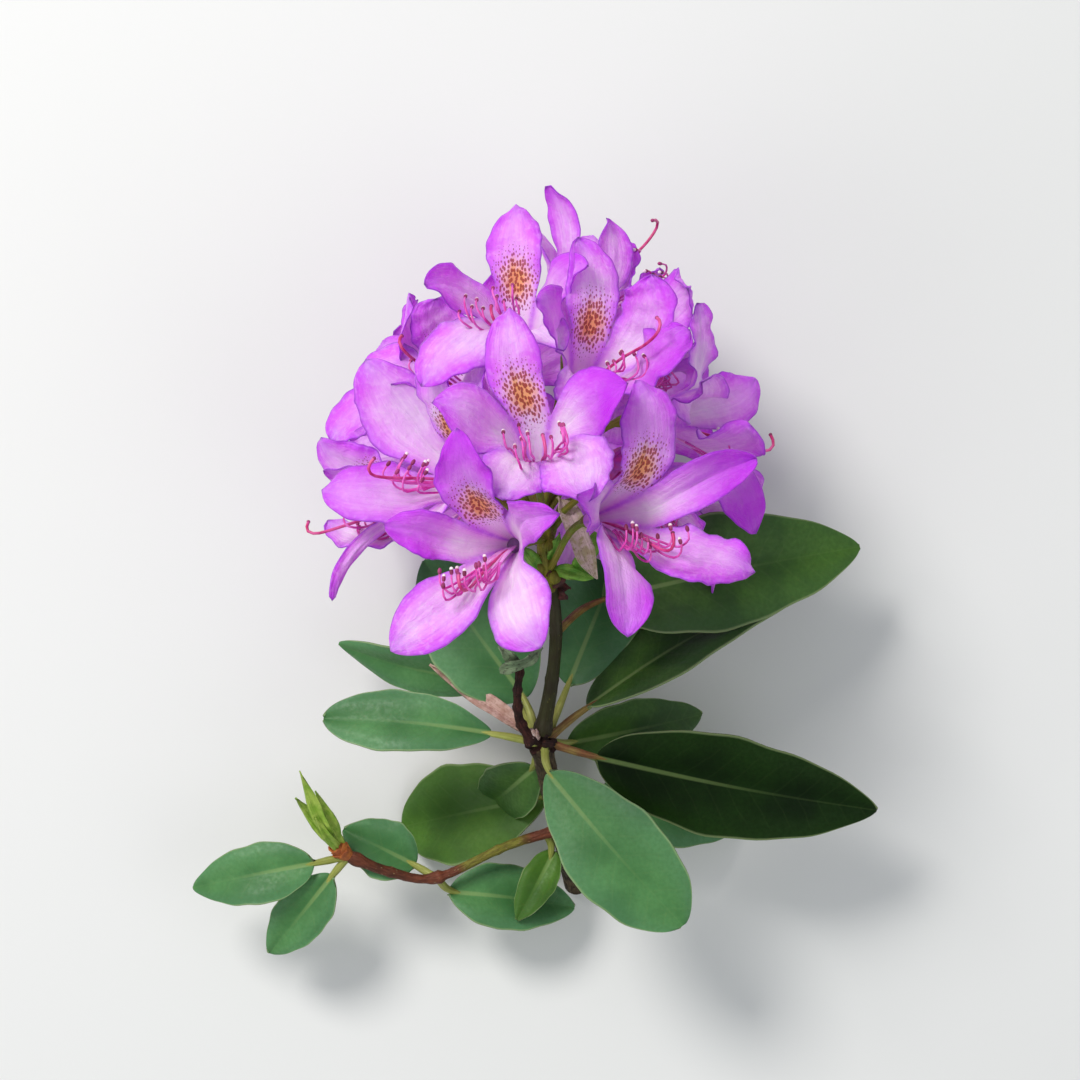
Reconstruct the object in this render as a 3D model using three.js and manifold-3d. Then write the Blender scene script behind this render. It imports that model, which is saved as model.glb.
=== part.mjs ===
// A cut flowering branch of a pink purple rhododendron, lying on its back.
// One truss of blooms stands on a short green stalk above a whorl of leathery leaves. The stem goes on
// below the whorl to its flat cut, with a side twig. Millimetres, +Z up, blooms facing +Z.
// The list values are places and turns read off the branch, measured from the foot of the truss.
import * as THREE from "three";
import { mergeVertices } from "three/addons/utils/BufferGeometryUtils.js";
import Module from "manifold-3d";

const wasm = await Module();
wasm.setup();

// Driving dimensions
const clearance = 0.3; // between two neighbouring pieces
const tubeLength = 19; // corolla, from its base to the notches between its lobes
const lobeLength = 30; // from the notches to the lobe tips, along the lobe
const lobeHalfWidth = 8.9;
const lobeCount = 5;
const corollaBaseRadius = 2;
const petalThickness = 0.9;
const baseAngle = 14; // flare of the tube at its base, in degrees from the bloom's axis
const throatAngle = 26;
const openAngle = 62;
const recurveAngle = 26;
const crossCurvature = -1 / 60; // a lobe is arched across, its edges falling back
const pedicelRadius = 0.95;
const filamentRadius = 0.42;
const styleRadius = 0.55;
const stamenLength = 40;
const styleLength = 47;
const leafThickness = 1;
const petioleRadius = 1.25;
const stemRadius = 3.1; // below the whorl
const cutRadius = 3.9; // at the flat cut
const stalkRadius = 1.8; // of the green stalk under the truss
const axisRadius = 2.6; // of the knobbly axis inside the truss
const twigRadius = 1.9;
const spentStalkRadius = 1.5;

// Colours of the pieces
const petalColour = 0xd77df0;
const leafColour = 0x4c7a4a;
const darkLeafColour = 0x2c3d1e;
const limeLeafColour = 0x5d7d2c;
const stalkColour = 0x5d6a2a;
const barkColour = 0x4d3a22;
const spentColour = 0x2c1510;
const dryLeafColour = 0x8a7a66;
const budColour = 0xb9c46a;

const degree = Math.PI / 180;
const at = (x, y, z) => new THREE.Vector3(x, y, z);

// Solids from three.js geometry, and back
function solidOf(geometry) {
  const bare = geometry.clone();
  bare.deleteAttribute("normal");
  bare.deleteAttribute("uv");
  const merged = mergeVertices(bare, 1e-4);
  const vertProperties = Float32Array.from(merged.attributes.position.array);
  const triVerts = Uint32Array.from(merged.index.array);
  return new wasm.Manifold(new wasm.Mesh({ numProp: 3, vertProperties, triVerts }));
}

function geometryOf(solid) {
  const mesh = solid.getMesh();
  const geometry = new THREE.BufferGeometry();
  const values = Float32Array.from(mesh.vertProperties);
  geometry.setAttribute("position", new THREE.BufferAttribute(values, 3));
  geometry.setIndex(Array.from(mesh.triVerts));
  return geometry;
}

// The largest body of a solid, without the scraps that a cut leaves.
function mainBody(solid) {
  const bodies = solid.decompose();
  return bodies.reduce((best, body) => (body.volume() > best.volume() ? body : best));
}

function meshFrom(points, faces) {
  const geometry = new THREE.BufferGeometry();
  const values = points.flatMap((p) => [p.x, p.y, p.z]);
  geometry.setAttribute("position", new THREE.Float32BufferAttribute(values, 3));
  geometry.setIndex(faces.flat());
  return geometry;
}

function smooth(x) {
  const c = Math.min(1, Math.max(0, x));
  return c * c * (3 - 2 * c);
}

// A round limb: a cylinder bent along a smooth curve, its radius going evenly through the radii given.
function limb(curve, radii, sides, steps, grow = 0) {
  const geometry = new THREE.CylinderGeometry(1, 1, 1, sides, steps);
  const frames = curve.computeFrenetFrames(steps);
  const place = geometry.attributes.position;
  for (let i = 0; i < place.count; i++) {
    const step = Math.round((place.getY(i) + 0.5) * steps);
    const share = (step / steps) * (radii.length - 1);
    const before = Math.min(radii.length - 2, Math.floor(share));
    const flat = grow / Math.cos(Math.PI / sides);
    const radius = THREE.MathUtils.lerp(radii[before], radii[before + 1], share - before) + flat;
    const point = curve.getPointAt(step / steps);
    point.addScaledVector(frames.normals[step], place.getX(i) * radius);
    point.addScaledVector(frames.binormals[step], -place.getZ(i) * radius);
    if (step === 0) point.addScaledVector(frames.tangents[0], -grow);
    if (step === steps) point.addScaledVector(frames.tangents[steps], grow);
    place.setXYZ(i, point.x, point.y, point.z);
  }
  return solidOf(geometry);
}

const route = (points) => new THREE.CatmullRomCurve3(points.map((p) => at(...p)));

// A closed sheet of even thickness over a surface given by a function of u along and v across.
function sheet(surface, uSteps, vSteps, thickness) {
  const points = [];
  const small = 0.01;
  for (const side of [1, -1]) {
    for (let i = 0; i <= uSteps; i++) {
      for (let j = 0; j <= vSteps; j++) {
        const u = i / uSteps;
        const v = -1 + (2 * j) / vSteps;
        const du = surface(u + small, v).sub(surface(u - small, v));
        const dv = surface(u, v + small).sub(surface(u, v - small));
        const normal = du.cross(dv).normalize();
        points.push(surface(u, v).addScaledVector(normal, (side * thickness) / 2));
      }
    }
  }
  const row = vSteps + 1;
  const skin = row * (uSteps + 1);
  const index = (side, i, j) => side * skin + i * row + j;
  const faces = [];
  const quad = (a, b, c, d) => faces.push([a, b, c], [a, c, d]);
  for (let i = 0; i < uSteps; i++) {
    for (let j = 0; j < vSteps; j++) {
      quad(index(0, i, j), index(0, i + 1, j), index(0, i + 1, j + 1), index(0, i, j + 1));
      quad(index(1, i, j), index(1, i, j + 1), index(1, i + 1, j + 1), index(1, i + 1, j));
    }
    quad(index(0, i, 0), index(1, i, 0), index(1, i + 1, 0), index(0, i + 1, 0));
    quad(index(0, i, vSteps), index(0, i + 1, vSteps), index(1, i + 1, vSteps), index(1, i, vSteps));
  }
  for (let j = 0; j < vSteps; j++) {
    quad(index(0, 0, j), index(0, 0, j + 1), index(1, 0, j + 1), index(1, 0, j));
    quad(index(0, uSteps, j), index(1, uSteps, j), index(1, uSteps, j + 1), index(0, uSteps, j + 1));
  }
  return solidOf(meshFrom(points, faces));
}

// The corolla: a funnel that opens into five lobes. s runs from its base (0) to a lobe's tip (1).
const corollaLength = tubeLength + lobeLength;
const notch = tubeLength / corollaLength;
const lineSteps = 24;

function lineAngle(s, opening) {
  if (s <= notch) return (baseAngle + ((throatAngle - baseAngle) * s) / notch) * degree;
  const q = (s - notch) / (1 - notch);
  return (throatAngle + (opening - throatAngle) * smooth(q / 0.4) + recurveAngle * q * q) * degree;
}

// Radius, height and angle at even steps along the middle line of a lobe.
function middleLine(opening) {
  const line = [];
  let r = corollaBaseRadius;
  let z = 0;
  for (let i = 0; i <= lineSteps; i++) {
    line.push([r, z, lineAngle(i / lineSteps, opening)]);
    const between = lineAngle((i + 0.5) / lineSteps, opening);
    r += (Math.sin(between) * corollaLength) / lineSteps;
    z += (Math.cos(between) * corollaLength) / lineSteps;
  }
  return line;
}

function onLine(line, s) {
  const k = Math.min(lineSteps - 1, Math.max(0, Math.floor(s * lineSteps)));
  const share = s * lineSteps - k;
  return [0, 1, 2].map((c) => line[k][c] + (line[k + 1][c] - line[k][c]) * share);
}

const straightLine = middleLine(openAngle);
const notchRadius = onLine(straightLine, notch)[0];
const throatHeight = onLine(straightLine, notch)[1];
const sector = Math.PI / lobeCount;

// Half width of a lobe as a share of its widest, q from the notch (0) to the tip (1).
function lobeShape(q) {
  if (q < 0.5) return 0.53 + 0.47 * Math.sin(Math.PI * q);
  return Math.max(0, 1 - ((q - 0.5) / 0.5) ** 2.3) ** 0.62;
}

// A point of a lobe in the bloom's own frame, axis +Z, t from -1 to 1 across the lobe.
function lobePoint(line, azimuth, spread, s, t, grow) {
  const [r, z, angle] = onLine(line, s);
  if (s <= notch) {
    const around = azimuth + -t * sector;
    return at(r * Math.cos(around), r * Math.sin(around), z);
  }
  const q = (s - notch) / (1 - notch);
  const blend = smooth(q / 0.25);
  const narrow = notchRadius * sector * (1 + q);
  const halfWidth = THREE.MathUtils.lerp(narrow, lobeHalfWidth * lobeShape(q), blend) + grow;
  const tubeCurvature = 1 / notchRadius;
  const curvature = tubeCurvature + (crossCurvature - tubeCurvature) * smooth(q / 0.5);
  const safe = Math.abs(curvature) < 1e-4 ? 1e-4 : curvature;
  const across = Math.sin(t * halfWidth * safe) / safe;
  const sag = (1 - Math.cos(t * halfWidth * safe)) / safe;
  const out = r - sag * Math.cos(angle);
  const up = z + sag * Math.sin(angle);
  const turned = azimuth + spread * smooth(q / 0.5);
  return at(
    out * Math.cos(turned) + across * Math.sin(turned),
    out * Math.sin(turned) - across * Math.cos(turned),
    up,
  );
}

const tubeRows = [0, 0.55, 1];
const lobeRows = [0.24, 0.52, 0.78, 0.965];
const hiddenRows = [0.26, 0.62, 0.965];
const lobeColumns = 2;

function corolla(bloom, grow = 0) {
  const points = [];
  const faces = [];
  const quad = (a, b, c, d) => faces.push([a, b, c], [a, c, d]);
  const half = petalThickness / 2 + grow;
  const round = lobeCount * lobeColumns;
  const skins = [half, -half].map((offset) => {
    const floor = offset < 0 ? 0.1 : 0;
    const rings = tubeRows.map((share) => {
      const s = floor + (notch - floor) * share;
      const [r, z, angle] = onLine(straightLine, s);
      return Array.from({ length: round }, (_, j) => {
        const lobe = Math.floor(j / lobeColumns);
        const t = -1 + (2 * (j % lobeColumns)) / lobeColumns;
        const around = (90 - 72 * lobe) * degree - t * sector;
        const out = r + offset * Math.cos(angle);
        points.push(at(out * Math.cos(around), out * Math.sin(around), z - offset * Math.sin(angle)));
        return points.length - 1;
      });
    });
    const lobes = Array.from({ length: lobeCount }, (_, lobe) => {
      const order = (lobeCount - lobe) % lobeCount;
      const line = middleLine(openAngle + bloom.bend[order]);
      const azimuth = (90 - 72 * lobe) * degree;
      const spread = bloom.spread[order] * degree;
      const place = (s, t) => lobePoint(line, azimuth, spread, s, t, grow);
      const first = Array.from(
        { length: lobeColumns + 1 },
        (_, c) => rings.at(-1)[(lobe * lobeColumns + c) % round],
      );
      const rest = (bloom.hidden ? hiddenRows : lobeRows).map((q) => {
        const s = notch + (1 - notch) * q;
        return Array.from({ length: lobeColumns + 1 }, (_, c) => {
          const t = -1 + (2 * c) / lobeColumns;
          const along = place(s + 0.004, t).sub(place(s - 0.004, t));
          const across = place(s, t + 0.01).sub(place(s, t - 0.01));
          const normal = across.cross(along).normalize();
          const tipPush = q > 0.9 ? grow : 0;
          const point = place(s, t).addScaledVector(normal, -offset);
          points.push(point.addScaledVector(along.normalize(), tipPush));
          return points.length - 1;
        });
      });
      return [first, ...rest];
    });
    const baseHeight = offset < 0 ? onLine(straightLine, floor)[1] + half : -grow;
    points.push(at(0, 0, baseHeight));
    return { rings, lobes, centre: points.length - 1 };
  });
  const [outer, inner] = skins;
  for (let k = 0; k + 1 < tubeRows.length; k++) {
    for (let j = 0; j < round; j++) {
      const next = (j + 1) % round;
      quad(outer.rings[k][j], outer.rings[k][next], outer.rings[k + 1][next], outer.rings[k + 1][j]);
      quad(inner.rings[k][j], inner.rings[k + 1][j], inner.rings[k + 1][next], inner.rings[k][next]);
    }
  }
  for (let j = 0; j < round; j++) {
    const next = (j + 1) % round;
    faces.push([outer.rings[0][next], outer.rings[0][j], outer.centre]);
    faces.push([inner.rings[0][j], inner.rings[0][next], inner.centre]);
  }
  for (let lobe = 0; lobe < lobeCount; lobe++) {
    const o = outer.lobes[lobe];
    const n = inner.lobes[lobe];
    const last = o.length - 1;
    for (let k = 0; k < last; k++) {
      for (let c = 0; c < lobeColumns; c++) {
        quad(o[k][c], o[k][c + 1], o[k + 1][c + 1], o[k + 1][c]);
        quad(n[k][c], n[k + 1][c], n[k + 1][c + 1], n[k][c + 1]);
      }
      quad(o[k][0], o[k + 1][0], n[k + 1][0], n[k][0]);
      quad(o[k + 1][lobeColumns], o[k][lobeColumns], n[k][lobeColumns], n[k + 1][lobeColumns]);
    }
    for (let c = 0; c < lobeColumns; c++) quad(o[last][c], o[last][c + 1], n[last][c + 1], n[last][c]);
  }
  const facing = faces.map(([a, b, c]) => [a, c, b]);
  return solidOf(meshFrom(points, facing));
}

// Where a bloom stands: its axis d, and the turn that brings its own frame there.
function bloomPose(bloom) {
  const yaw = bloom.yaw * degree;
  const pitch = bloom.pitch * degree;
  const d = at(Math.sin(yaw) * Math.cos(pitch), Math.sin(pitch), Math.cos(yaw) * Math.cos(pitch));
  const x = at(0, 1, 0).cross(d).normalize();
  const y = d.clone().cross(x);
  const turn = bloom.roll * degree;
  const xTurned = x.clone().multiplyScalar(Math.cos(turn)).addScaledVector(y, Math.sin(turn));
  const yTurned = x.clone().multiplyScalar(-Math.sin(turn)).addScaledVector(y, Math.cos(turn));
  const base = at(...bloom.throat).addScaledVector(d, -throatHeight);
  const matrix = new THREE.Matrix4().makeBasis(xTurned, yTurned, d).setPosition(base);
  return { d, base, matrix };
}

// The truss axis, from its foot to its tip, and the place on it where a pedicel starts.
const trussFoot = at(0, 0, 0);
const trussTip = at(-1.5, 25, 9.5);
const trussAxis = new THREE.LineCurve3(trussFoot, trussTip);

function pedicelRoute(bloom) {
  const { d, base } = bloomPose(bloom);
  const along = trussTip.clone().sub(trussFoot).normalize();
  const reach = base.clone().sub(trussFoot).dot(along) / trussFoot.distanceTo(trussTip);
  const share = THREE.MathUtils.clamp(0.18 + 0.4 * reach, 0.12, 0.95);
  const root = trussAxis.getPointAt(share);
  const out = base.clone().sub(root);
  const reachLength = out.length();
  out.normalize();
  return new THREE.CubicBezierCurve3(
    root,
    root.clone().addScaledVector(out, reachLength * 0.35),
    base.clone().addScaledVector(d, -reachLength * 0.35),
    base.clone().addScaledVector(d, 1.5),
  );
}

// A stamen or style in the bloom's own frame: it leans to the lower side, and its tip curls up again.
function filament(side, length, lift, radius, grow) {
  const curve = route([
    [0.9 * side, -0.6, 3],
    [1.8 * side, -2.2, 0.3 * length],
    [3.8 * side, -5.2, 0.58 * length],
    [5.6 * side, -8.2 + lift, 0.8 * length],
    [6.4 * side, -6.6 + lift, 0.94 * length],
    [6.6 * side, -3.4 + lift, length],
  ]);
  return limb(curve, [radius, radius * 0.9], 3, 5, grow);
}

const stamenSides = [-0.9, 0.9];

function pedicelSolid(bloom, grow) {
  return limb(pedicelRoute(bloom), [pedicelRadius, pedicelRadius, pedicelRadius + 0.3], 4, 4, grow);
}

function bloomSolid(bloom, grow = 0) {
  const { matrix } = bloomPose(bloom);
  const columnMajor = matrix.toArray();
  let cup = corolla(bloom, grow);
  if (!bloom.hidden) {
    stamenSides.forEach((side, i) => {
      cup = cup.add(filament(side, stamenLength - 4 * i, 0.8 * i, filamentRadius, grow));
    });
  }
  cup = cup.add(filament(0.12, styleLength, -2.2, styleRadius, grow));
  return cup.transform(columnMajor).add(pedicelSolid(bloom, grow));
}

// The room that a bloom's pedicel and tube keep for themselves.
function bloomCore(bloom, grow = 0) {
  const { d, base } = bloomPose(bloom);
  const pedicel = pedicelSolid(bloom, grow);
  const tube = new THREE.LineCurve3(base, base.clone().addScaledVector(d, throatHeight - 2));
  const half = petalThickness / 2 + 0.1;
  return pedicel.add(limb(tube, [corollaBaseRadius + half, notchRadius - 1 + half], 10, 1, grow));
}

// Blooms: place of the throat, then the turn of the axis, then the sideways shift and the bend of each lobe,
// in the order upper, left, lower left, lower right, right. Those in front come first and keep their shape.
const plain = [0, 0, 0, 0, 0];
const blooms = [
  {
    throat: [-11.5, 13, 56], yaw: -22, pitch: -10, roll: 8,
    spread: [4, -2, -18, -14, -6], bend: [0, -14, -4, -20, -24],
  },
  {
    throat: [-2, 40, 54], yaw: -3, pitch: 38, roll: 11,
    spread: [4, 2, 4, -12, -14], bend: [3, -16, -6, -2, -26],
  },
  {
    throat: [23.5, 19.5, 49], yaw: 47, pitch: 4, roll: -6,
    spread: [0, 20, 2, 26, 14], bend: [0, -12, 0, 4, 2],
  },
  {
    throat: [12, 61, 30], yaw: 24, pitch: 40, roll: -4,
    spread: [0, 8, 0, 0, 14], bend: [0, -24, 0, 0, 2],
  },
  {
    throat: [-8.5, 74, 25], yaw: -6, pitch: 50, roll: 4,
    spread: [0, 14, 0, 0, -14], bend: [0, -28, -6, -6, -36],
  },
  {
    throat: [-26, 32, 24], yaw: -55, pitch: 12, roll: -16,
    spread: plain, bend: [0, 0, -6, 0, 0],
  },
  {
    throat: [-25.5, 58, 10], yaw: -45, pitch: 36, roll: 28,
    spread: plain, bend: [-6, -6, 0, 0, -10],
  },
  {
    throat: [41, 47, 4], yaw: 76, pitch: 14, roll: -2,
    spread: plain, bend: plain,
  },
  {
    throat: [-40, 24, 2], yaw: -84, pitch: -12, roll: 36,
    spread: plain, bend: [-34, -30, -46, -30, -34],
  },
  {
    throat: [10, 84, -10], yaw: 120, pitch: 74, roll: 28,
    spread: plain, bend: [-36, -36, -32, -36, -36],
  },
  {
    throat: [29, 69.5, -16], yaw: 92, pitch: 40, roll: 0,
    spread: plain, bend: [-24, -16, 0, 0, 0],
  },
  {
    throat: [-36.5, 59, -16], yaw: -80, pitch: 30, roll: 10,
    spread: plain, bend: [-20, -20, -10, 0, -10],
  },
  {
    throat: [39, 28, -12], yaw: 86, pitch: -26, roll: 0,
    spread: plain, bend: [-30, -12, -10, -10, -14],
  },
  {
    throat: [-39, 38, -20], yaw: -104, pitch: -8, roll: 0,
    spread: plain, bend: [-40, -24, -12, 0, 0],
  },
  {
    throat: [-25, 24, -34.1], yaw: -145, pitch: -16, roll: 10,
    spread: plain, bend: plain, hidden: true,
  },
  {
    throat: [12, 19, -39.1], yaw: 160, pitch: -16, roll: 0,
    spread: plain, bend: plain, hidden: true,
  },
  {
    throat: [20, 57, -34], yaw: 150, pitch: 26, roll: 0,
    spread: plain, bend: plain, hidden: true,
  },
  {
    throat: [-12, 60, -36.5], yaw: -166, pitch: 26, roll: 0,
    spread: plain, bend: plain, hidden: true,
  },
];

// Leaves: root on the stem, neck where the blade starts, tip, widest half width, roll about the midrib,
// fold along it, the midrib's sag, and the rise of the tip's end.
const leaves = [
  {
    name: "leaf_left", root: [-3, -44, -15], neck: [-16, -41, -12], tip: [-64, -37, -15],
    half: 9.5, roll: 24, fold: 12, sag: -3,
  },
  {
    name: "leaf_front", root: [-1, -45, -15], neck: [0, -52, -10], tip: [38, -94.5, -4],
    half: 14.5, roll: 6, fold: 10, sag: -4,
  },
  {
    name: "leaf_right", root: [0, -44, -16], neck: [14, -48, -14], tip: [95, -64, -24],
    half: 15, roll: 8, fold: 12, sag: -5,
  },
  {
    name: "leaf_right_upper", root: [0, -43, -17], neck: [11.5, -34, -22], tip: [76, 0, -34],
    half: 14, roll: -58, fold: 10, sag: -4,
  },
  {
    name: "leaf_right_top", root: [2, -12, -4], neck: [16, -3, -26], tip: [91, 12, -32],
    half: 17, roll: -8, fold: 12, sag: -6,
  },
  {
    name: "leaf_back_left", root: [-3, -43, -16], neck: [-6.5, -31.5, -21], tip: [-36, 8, -30],
    half: 15, roll: 0, fold: 8, sag: -4,
  },
  {
    name: "leaf_left_top", root: [-4, -42, -18], neck: [-14, -27, -30], tip: [-62, -17, -46],
    half: 8.5, roll: -40, fold: 12, sag: -3,
  },
  {
    name: "leaf_back", root: [0, -42, -18], neck: [6, -28, -30], tip: [28, 26, -50],
    half: 13, roll: 0, fold: 10, sag: -4,
  },
  {
    name: "leaf_dark_right", root: [0, -43.5, -18], neck: [6, -45, -28], tip: [46, -38, -50],
    half: 9, roll: 0, fold: 12, sag: -4,
  },
  {
    name: "leaf_dark_below", root: [-3, -45.5, -18], neck: [-4, -52, -26], tip: [-18, -66, -58],
    half: 9, roll: 0, fold: 12, sag: -3,
  },
  {
    name: "leaf_lime", root: [1, -58, -28], neck: [0, -62, -44], tip: [-44, -73, -64.1],
    half: 15, roll: 12, fold: 10, sag: -3,
  },
  {
    name: "leaf_prop", root: [6, -60, -30], neck: [14, -61, -40], tip: [60, -72, -64.1],
    half: 11, roll: 0, fold: 12, sag: -3,
  },
  {
    name: "twig_leaf_1", root: [-33, -85, -36], neck: [-38.5, -81, -33.5], tip: [-62, -71, -30],
    half: 9, roll: 10, fold: 12, sag: -2,
  },
  {
    name: "twig_leaf_2", root: [-58, -78, -30], neck: [-68, -80, -29], tip: [-104, -88, -36],
    half: 9, roll: 10, fold: 12, sag: -3,
  },
  {
    name: "twig_leaf_3", root: [-58, -78, -30], neck: [-63, -84, -31], tip: [-82, -108, -42],
    half: 8, roll: 0, fold: 12, sag: -3,
  },
  {
    name: "twig_leaf_4", root: [-32, -85.5, -37], neck: [-29, -90, -42], tip: [8, -96, -52],
    half: 10, roll: -20, fold: 10, sag: -3,
  },
  {
    name: "twig_leaf_5", root: [-1, -72, -40], neck: [2, -78, -43], tip: [-9, -98, -40],
    half: 5.5, roll: 0, fold: 12, sag: -2,
  },
];

// Half width of a leaf's blade as a share of its widest, u from the neck to the tip.
function bladeShape(u) {
  const c = Math.min(0.999, Math.max(0.001, u));
  return Math.max(0.05, Math.sin(Math.PI * c ** 0.86) ** 0.62 * (1 - 0.18 * (c - 0.5)));
}

function leafFrame(leaf) {
  const neck = at(...leaf.neck);
  const tip = at(...leaf.tip);
  const along = tip.clone().sub(neck);
  const length = along.length();
  along.normalize();
  const flat = at(0, 0, 1).cross(along).normalize();
  const above = along.clone().cross(flat);
  const turn = leaf.roll * degree;
  const side = flat.clone().multiplyScalar(Math.cos(turn)).addScaledVector(above, Math.sin(turn));
  const normal = along.clone().cross(side);
  return { neck, along, side, normal, length };
}

function leafSurface(leaf) {
  const { neck, along, side, normal, length } = leafFrame(leaf);
  const fold = leaf.fold * degree;
  return (u, v) => {
    const reach = v * leaf.half * bladeShape(u);
    const rise = leaf.sag * -Math.sin(Math.PI * u) + Math.abs(reach) * Math.sin(fold);
    return neck
      .clone()
      .addScaledVector(along, u * length)
      .addScaledVector(side, reach * Math.cos(fold))
      .addScaledVector(normal, rise);
  };
}

function leafSolid(leaf, grow = 0) {
  const { neck, along } = leafFrame(leaf);
  const blade = sheet(leafSurface({ ...leaf, half: leaf.half + grow }), 6, 2, leafThickness + 2 * grow);
  const root = at(...leaf.root);
  const reach = root.distanceTo(neck);
  const stalk = new THREE.CubicBezierCurve3(
    root,
    root.clone().lerp(neck, 0.4),
    neck.clone().addScaledVector(along, -0.3 * reach),
    neck.clone().addScaledVector(along, 4),
  );
  return blade.add(limb(stalk, [petioleRadius, petioleRadius, 0.6], 4, 2, grow));
}

// Woody and green limbs
const whorl = [-2, -44, -16];
const stemRoute = route([whorl, [1, -58, -28], [4.5, -72, -41], [9, -90, -61.7]]);
const stalkRoute = route([[1.6, -3, -1.4], [2.2, -14, -4], [0.8, -28, -9.5], [-1.6, -41, -15]]);
const twigRoute = route([
  [4.6, -71, -40], [-12, -76, -38.5], [-32.5, -85, -36], [-46, -83, -33], [-58, -78, -30],
]);
const spentRoute = route([[-4.5, -43.5, -13], [-8, -37, -9], [-8.6, -29, -4], [-7.6, -21, 0]]);

const stemSolid = (grow) => limb(stemRoute, [stemRadius, stemRadius, cutRadius], 10, 7, grow);
const stalkSolid = (grow) => limb(stalkRoute, [stalkRadius, stalkRadius, stalkRadius + 0.5], 8, 5, grow);
const twigSolid = (grow) => limb(twigRoute, [twigRadius, 1.6, 1.5, 1.7], 7, 9, grow);
const spentSolid = (grow) => limb(spentRoute, [spentStalkRadius, 1.3, 1.1], 6, 5, grow);

// The axis inside the truss carries green knobs, the scars and buds between the pedicels.
function axisSolid(grow) {
  let solid = limb(trussAxis, [axisRadius, axisRadius, 1.2], 8, 3, grow);
  const knobs = [[0.15, 40, 2.3], [0.25, 140, 2.1], [0.5, 70, 1.9]];
  for (const [share, around, radius] of knobs) {
    const knob = new THREE.SphereGeometry(radius + grow, 6, 3);
    const middle = trussAxis.getPointAt(share);
    middle.x += axisRadius * Math.cos(around * degree);
    middle.z += axisRadius * Math.sin(around * degree);
    solid = solid.add(solidOf(knob.translate(middle.x, middle.y, middle.z)));
  }
  return solid;
}

// A bud is a turned solid that stands on its foot along an axis.
function budSolid(foot, axis, length, radius, grow = 0) {
  const profile = [];
  for (let i = 0; i <= 6; i++) {
    const share = i / 6;
    const swell = Math.sin(Math.PI * (0.12 + 0.88 * share) ** 0.8);
    profile.push(new THREE.Vector2(share === 1 ? 0 : radius * Math.max(0, swell) + grow, share * length));
  }
  profile[0].y -= grow;
  profile[6].y += grow;
  profile.unshift(new THREE.Vector2(0, -grow));
  const geometry = new THREE.LatheGeometry(profile, 8);
  const turn = new THREE.Quaternion().setFromUnitVectors(at(0, 1, 0), at(...axis).normalize());
  geometry.applyQuaternion(turn);
  geometry.translate(...foot);
  return solidOf(geometry);
}

// A small curved blade between two points, such as a scale, a bract or a young leaf.
function blade(from, to, half, roll, sag, grow = 0, thickness = 0.8) {
  const shape = { neck: from, tip: to, half: half + grow, roll, fold: 14, sag };
  return sheet(leafSurface(shape), 3, 2, thickness + 2 * grow);
}

// Brown scales left by the flower bud, in a collar round the foot of the truss.
function scaleSolid(grow) {
  const foot = stalkRoute.getPointAt(0.1);
  const collar = route([[foot.x, foot.y + 1.6, foot.z + 0.4], [foot.x + 0.4, foot.y - 3.4, foot.z - 1.4]]);
  let solid = limb(collar, [3.2, 2.8], 6, 1, grow);
  for (const [x, y, z] of [[9, -2, 4], [8, -9, 0], [-5, -8, 2]]) {
    const from = [foot.x + 0.25 * (x - foot.x), foot.y + 0.25 * (y - foot.y), foot.z + 0.25 * (z - foot.z)];
    solid = solid.add(blade(from, [x, y, z], 2.2, 0, -1.2, grow));
  }
  return solid;
}

// The twig's end bud, with three young leaves standing up from it.
const twigTip = [-59.5, -77.4, -29.5];
function shootSolid(grow) {
  let solid = budSolid(twigTip, [-0.8, 0.3, 0.3], 7, 2.7, grow);
  const start = [-62, -76.5, -28.5];
  for (const [x, y, z, half] of [[-71, -52, -12, 2.6], [-68, -55, -20, 2.2], [-74, -60, -20, 2.4]]) {
    solid = solid.add(blade(start, [x, y, z], half, 20, -1.5, grow));
  }
  return solid;
}

const pieces = [];
const piece = (name, colour, roughness, shape, core) => pieces.push({ name, colour, roughness, shape, core });

piece("stem", barkColour, 0.85, stemSolid);
piece("flower_stalk", stalkColour, 0.6, stalkSolid);
piece("truss_axis", stalkColour, 0.6, axisSolid);
piece("side_twig", barkColour, 0.8, twigSolid);
piece("spent_stalk", spentColour, 0.9, spentSolid);
piece("bud_scales", spentColour, 0.7, scaleSolid);
piece("whorl_bud", budColour, 0.6, (grow) => budSolid([-2.6, -42, -12.5], [0, 0.35, 1], 6, 2.2, grow));
piece("twig_shoots", limeLeafColour, 0.5, shootSolid);
blooms.forEach((bloom, i) => {
  const name = "bloom_" + String(i + 1).padStart(2, "0");
  piece(name, petalColour, 0.55, (grow) => bloomSolid(bloom, grow), (grow) => bloomCore(bloom, grow));
});
piece("closed_flower", petalColour, 0.55, (grow) => {
  const stalk = new THREE.QuadraticBezierCurve3(trussAxis.getPointAt(0.7), at(9, 26, 14), at(15, 31, 19));
  const bud = budSolid([14.6, 30.6, 18.6], [0.5, 0.65, 0.6], 13, 2.8, grow);
  return limb(stalk, [0.9, 0.9], 4, 3, grow).add(bud);
});
piece("bract", dryLeafColour, 0.8, (grow) => blade([0.5, 21, 8], [13, -1, 9], 2.6, -20, -3, grow));
piece("spent_leaf", dryLeafColour, 0.8, (grow) =>
  blade([-6.5, -21.4, 1.2], [-13, -15, 4], 4, 15, -2, grow, 1));
piece("dry_leaf", dryLeafColour, 0.8, (grow) =>
  blade([-4.5, -41.5, -18], [-36, -20, -24], 5, 15, -3, grow, 1));
const limeLeaves = ["leaf_lime", "twig_leaf_5"];
const darkLeaves = ["leaf_dark_right", "leaf_dark_below", "leaf_right_upper", "leaf_right_top"];
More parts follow.
